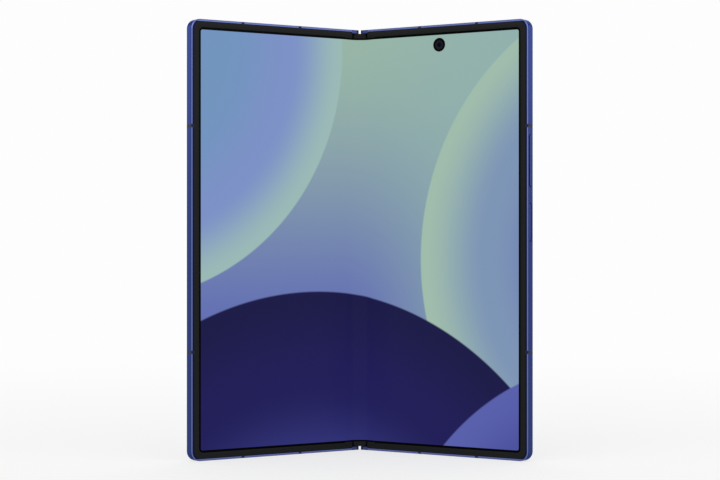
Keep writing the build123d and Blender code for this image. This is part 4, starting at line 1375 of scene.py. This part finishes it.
@dataclass
class HingeCables:
    """The flex cables through the hinge, split at the middle into one finer piece for each side."""

    bend: tuple[float, float] = (5.0, 1.2)
    cuts: int = 2

    def build(self) -> None:
        """Build both sides."""
        for side in Side:
            source = frame["nodes"]["hinge_flex_cables"]
            piece = bpy.data.objects.new(f"{side.word}_cables", source.data.copy())
            bpy.context.scene.collection.objects.link(piece)
            with editing(piece):
                bpy.ops.mesh.select_all(action="SELECT")
                bpy.ops.mesh.remove_doubles(threshold=1e-6)
                bpy.ops.mesh.bisect(
                    plane_co=(0, 0, 0), plane_no=(side.value, 0, 0), use_fill=True, clear_inner=True
                )
                bpy.ops.mesh.select_all(action="SELECT")
                bpy.ops.mesh.subdivide(number_cuts=self.cuts)
            FINISHES.dress(piece, "coverlay")
            smooth(piece)
            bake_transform(piece)
            if side is Side.LEFT:
                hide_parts("hinge_flex_cables")
            log.info("hinge cables of the %s half", side.word)


# ------------------------------------------------------------------ studio


@dataclass
class Studio:
    """White room: a pale floor, a white surround and large soft lamps, with the camera of the photograph."""

    camera_place: Point = (0.0, -684.03, 79.2)
    lens: float = 92.89
    shift: float = 0.00032
    sensor: float = 36.0
    white: str = "#fdfdfd"

    def surround(self) -> None:
        """Light the room evenly and show it white."""
        world = bpy.data.worlds.new("surround")
        bpy.context.scene.world = world
        world.use_nodes = True
        tree = world.node_tree
        path = add_node(tree, "LightPath")
        seen = add_node(
            tree, "Math", {0: path.outputs["Is Camera Ray"], 1: path.outputs["Is Glossy Ray"]}, operation="MAXIMUM"
        )
        seen = add_node(
            tree, "Math", {0: seen.outputs[0], 1: path.outputs["Is Transmission Ray"]}, operation="MAXIMUM"
        )
        strength = add_node(tree, "MapRange", {0: seen.outputs[0], 3: 0.5, 4: 1.0})
        background = tree.nodes["Background"]
        background.inputs["Color"].default_value = linear(self.white)
        tree.links.new(strength.outputs[0], background.inputs["Strength"])

    def floor(self) -> None:
        """Lay a pale floor that keeps a soft shadow."""
        deselect()
        bpy.ops.mesh.primitive_plane_add(size=8, location=(0, 0, 0))
        floor = bpy.context.object
        floor.name = "floor"
        material, tree, shader = new_material("floor_paint")
        shader.inputs["Base Color"].default_value = linear("#f4f4f4")
        shader.inputs["Roughness"].default_value = 0.9
        path = add_node(tree, "LightPath")
        seen = add_node(
            tree, "Math", {0: path.outputs["Is Camera Ray"], 1: path.outputs["Is Glossy Ray"]}, operation="MAXIMUM"
        )
        seen = add_node(
            tree, "Math", {0: seen.outputs[0], 1: path.outputs["Is Transmission Ray"]}, operation="MAXIMUM"
        )
        # Round the phone the floor takes its shadow; further out it is plain white
        away = add_node(tree, "VectorMath", {0: object_point(tree)}, operation="LENGTH")
        plain = add_node(
            tree, "MapRange", {0: away.outputs["Value"], 1: 0.1, 2: 0.6, 3: 0.7, 4: 1.0},
            interpolation_type="SMOOTHSTEP",
        )
        share = add_node(tree, "Math", {0: seen.outputs[0], 1: plain.outputs[0]}, operation="MULTIPLY")
        glow = add_node(tree, "Emission", {"Color": linear(self.white), "Strength": 1.0})
        mix = add_node(
            tree, "MixShader", {0: share.outputs[0], 1: shader.outputs[0], 2: glow.outputs[0]}
        )
        tree.links.new(mix.outputs[0], tree.nodes["Material Output"].inputs["Surface"])
        floor.data.materials.append(material)

    def lamp(self, name: str, place: Point, size: tuple[float, float], power: float) -> None:
        """Hang a soft box that faces the phone's middle.

        Args:
            name: Name of the lamp.
            place: Where it hangs, in metres.
            size: Its width and height, in metres.
            power: Watts.
        """
        light = bpy.data.lights.new(name, "AREA")
        light.shape = "RECTANGLE"
        light.size, light.size_y = size
        light.energy = power
        lamp = bpy.data.objects.new(name, light)
        bpy.context.scene.collection.objects.link(lamp)
        lamp.location = place
        aim = Vector((0, 0, 0.08)) - Vector(place)
        lamp.rotation_euler = aim.to_track_quat("-Z", "Y").to_euler()

    def camera(self) -> None:
        """Stand the camera where the photograph was taken."""
        data = bpy.data.cameras.new("camera")
        data.lens = self.lens
        data.sensor_width = self.sensor
        data.sensor_fit = "HORIZONTAL"
        data.shift_x = self.shift
        data.clip_start, data.clip_end = 0.01, 50
        camera = bpy.data.objects.new("camera", data)
        bpy.context.scene.collection.objects.link(camera)
        camera.location = Vector(self.camera_place) * MM
        camera.rotation_euler = (math.radians(90), 0, 0)
        bpy.context.scene.camera = camera

    def build(self) -> None:
        """Set up the room, the lamps and the camera."""
        bpy.context.scene.view_settings.view_transform = "Standard"
        self.surround()
        self.floor()
        self.lamp("key_box", (-1.2, -1.5, 1.5), (2.2, 2.2), 16)
        self.lamp("fill_box", (1.4, -1.3, 1.2), (2.2, 2.2), 12)
        self.lamp("back_box", (0.3, 1.8, 1.4), (2.4, 1.8), 14)
        for side in Side:
            self.lamp(f"{side.word}_strip", (0.9 * side.value, 0.42, 0.35), (0.9, 0.35), 0.75)
        self.camera()
        log.info("studio")


def main() -> None:
    """Build the studio and the phone."""
    logging.basicConfig(level=logging.INFO, format="%(name)s: %(message)s")
    Studio().build()
    dress_nodes()
    InnerDisplay().build()
    for side in Side:
        BezelTrim().build(side)
    for name, up, aperture in (("wide", 143.0, 1.7), ("ultrawide", 124.4, 1.95), ("telephoto", 105.8, 1.45)):
        RearCamera(name, up, aperture).build()
    SmallCamera("selfie", Side.RIGHT, front_seat(34.85, 151.0, -0.36), 2.35, 1.7, 0.85).build()
    SmallCamera("cover_camera", Side.LEFT, back_seat(37.8, 152.2, -3.735), 1.75, 1.2, 0.7, 0.012).build()
    FlashLens().build()
    SocketContacts().build()
    FoldCap("top", 155.2).build()
    FoldCap("bottom", 1.4).build()
    HingeCables().build()


if __name__ == "__main__":
    main()
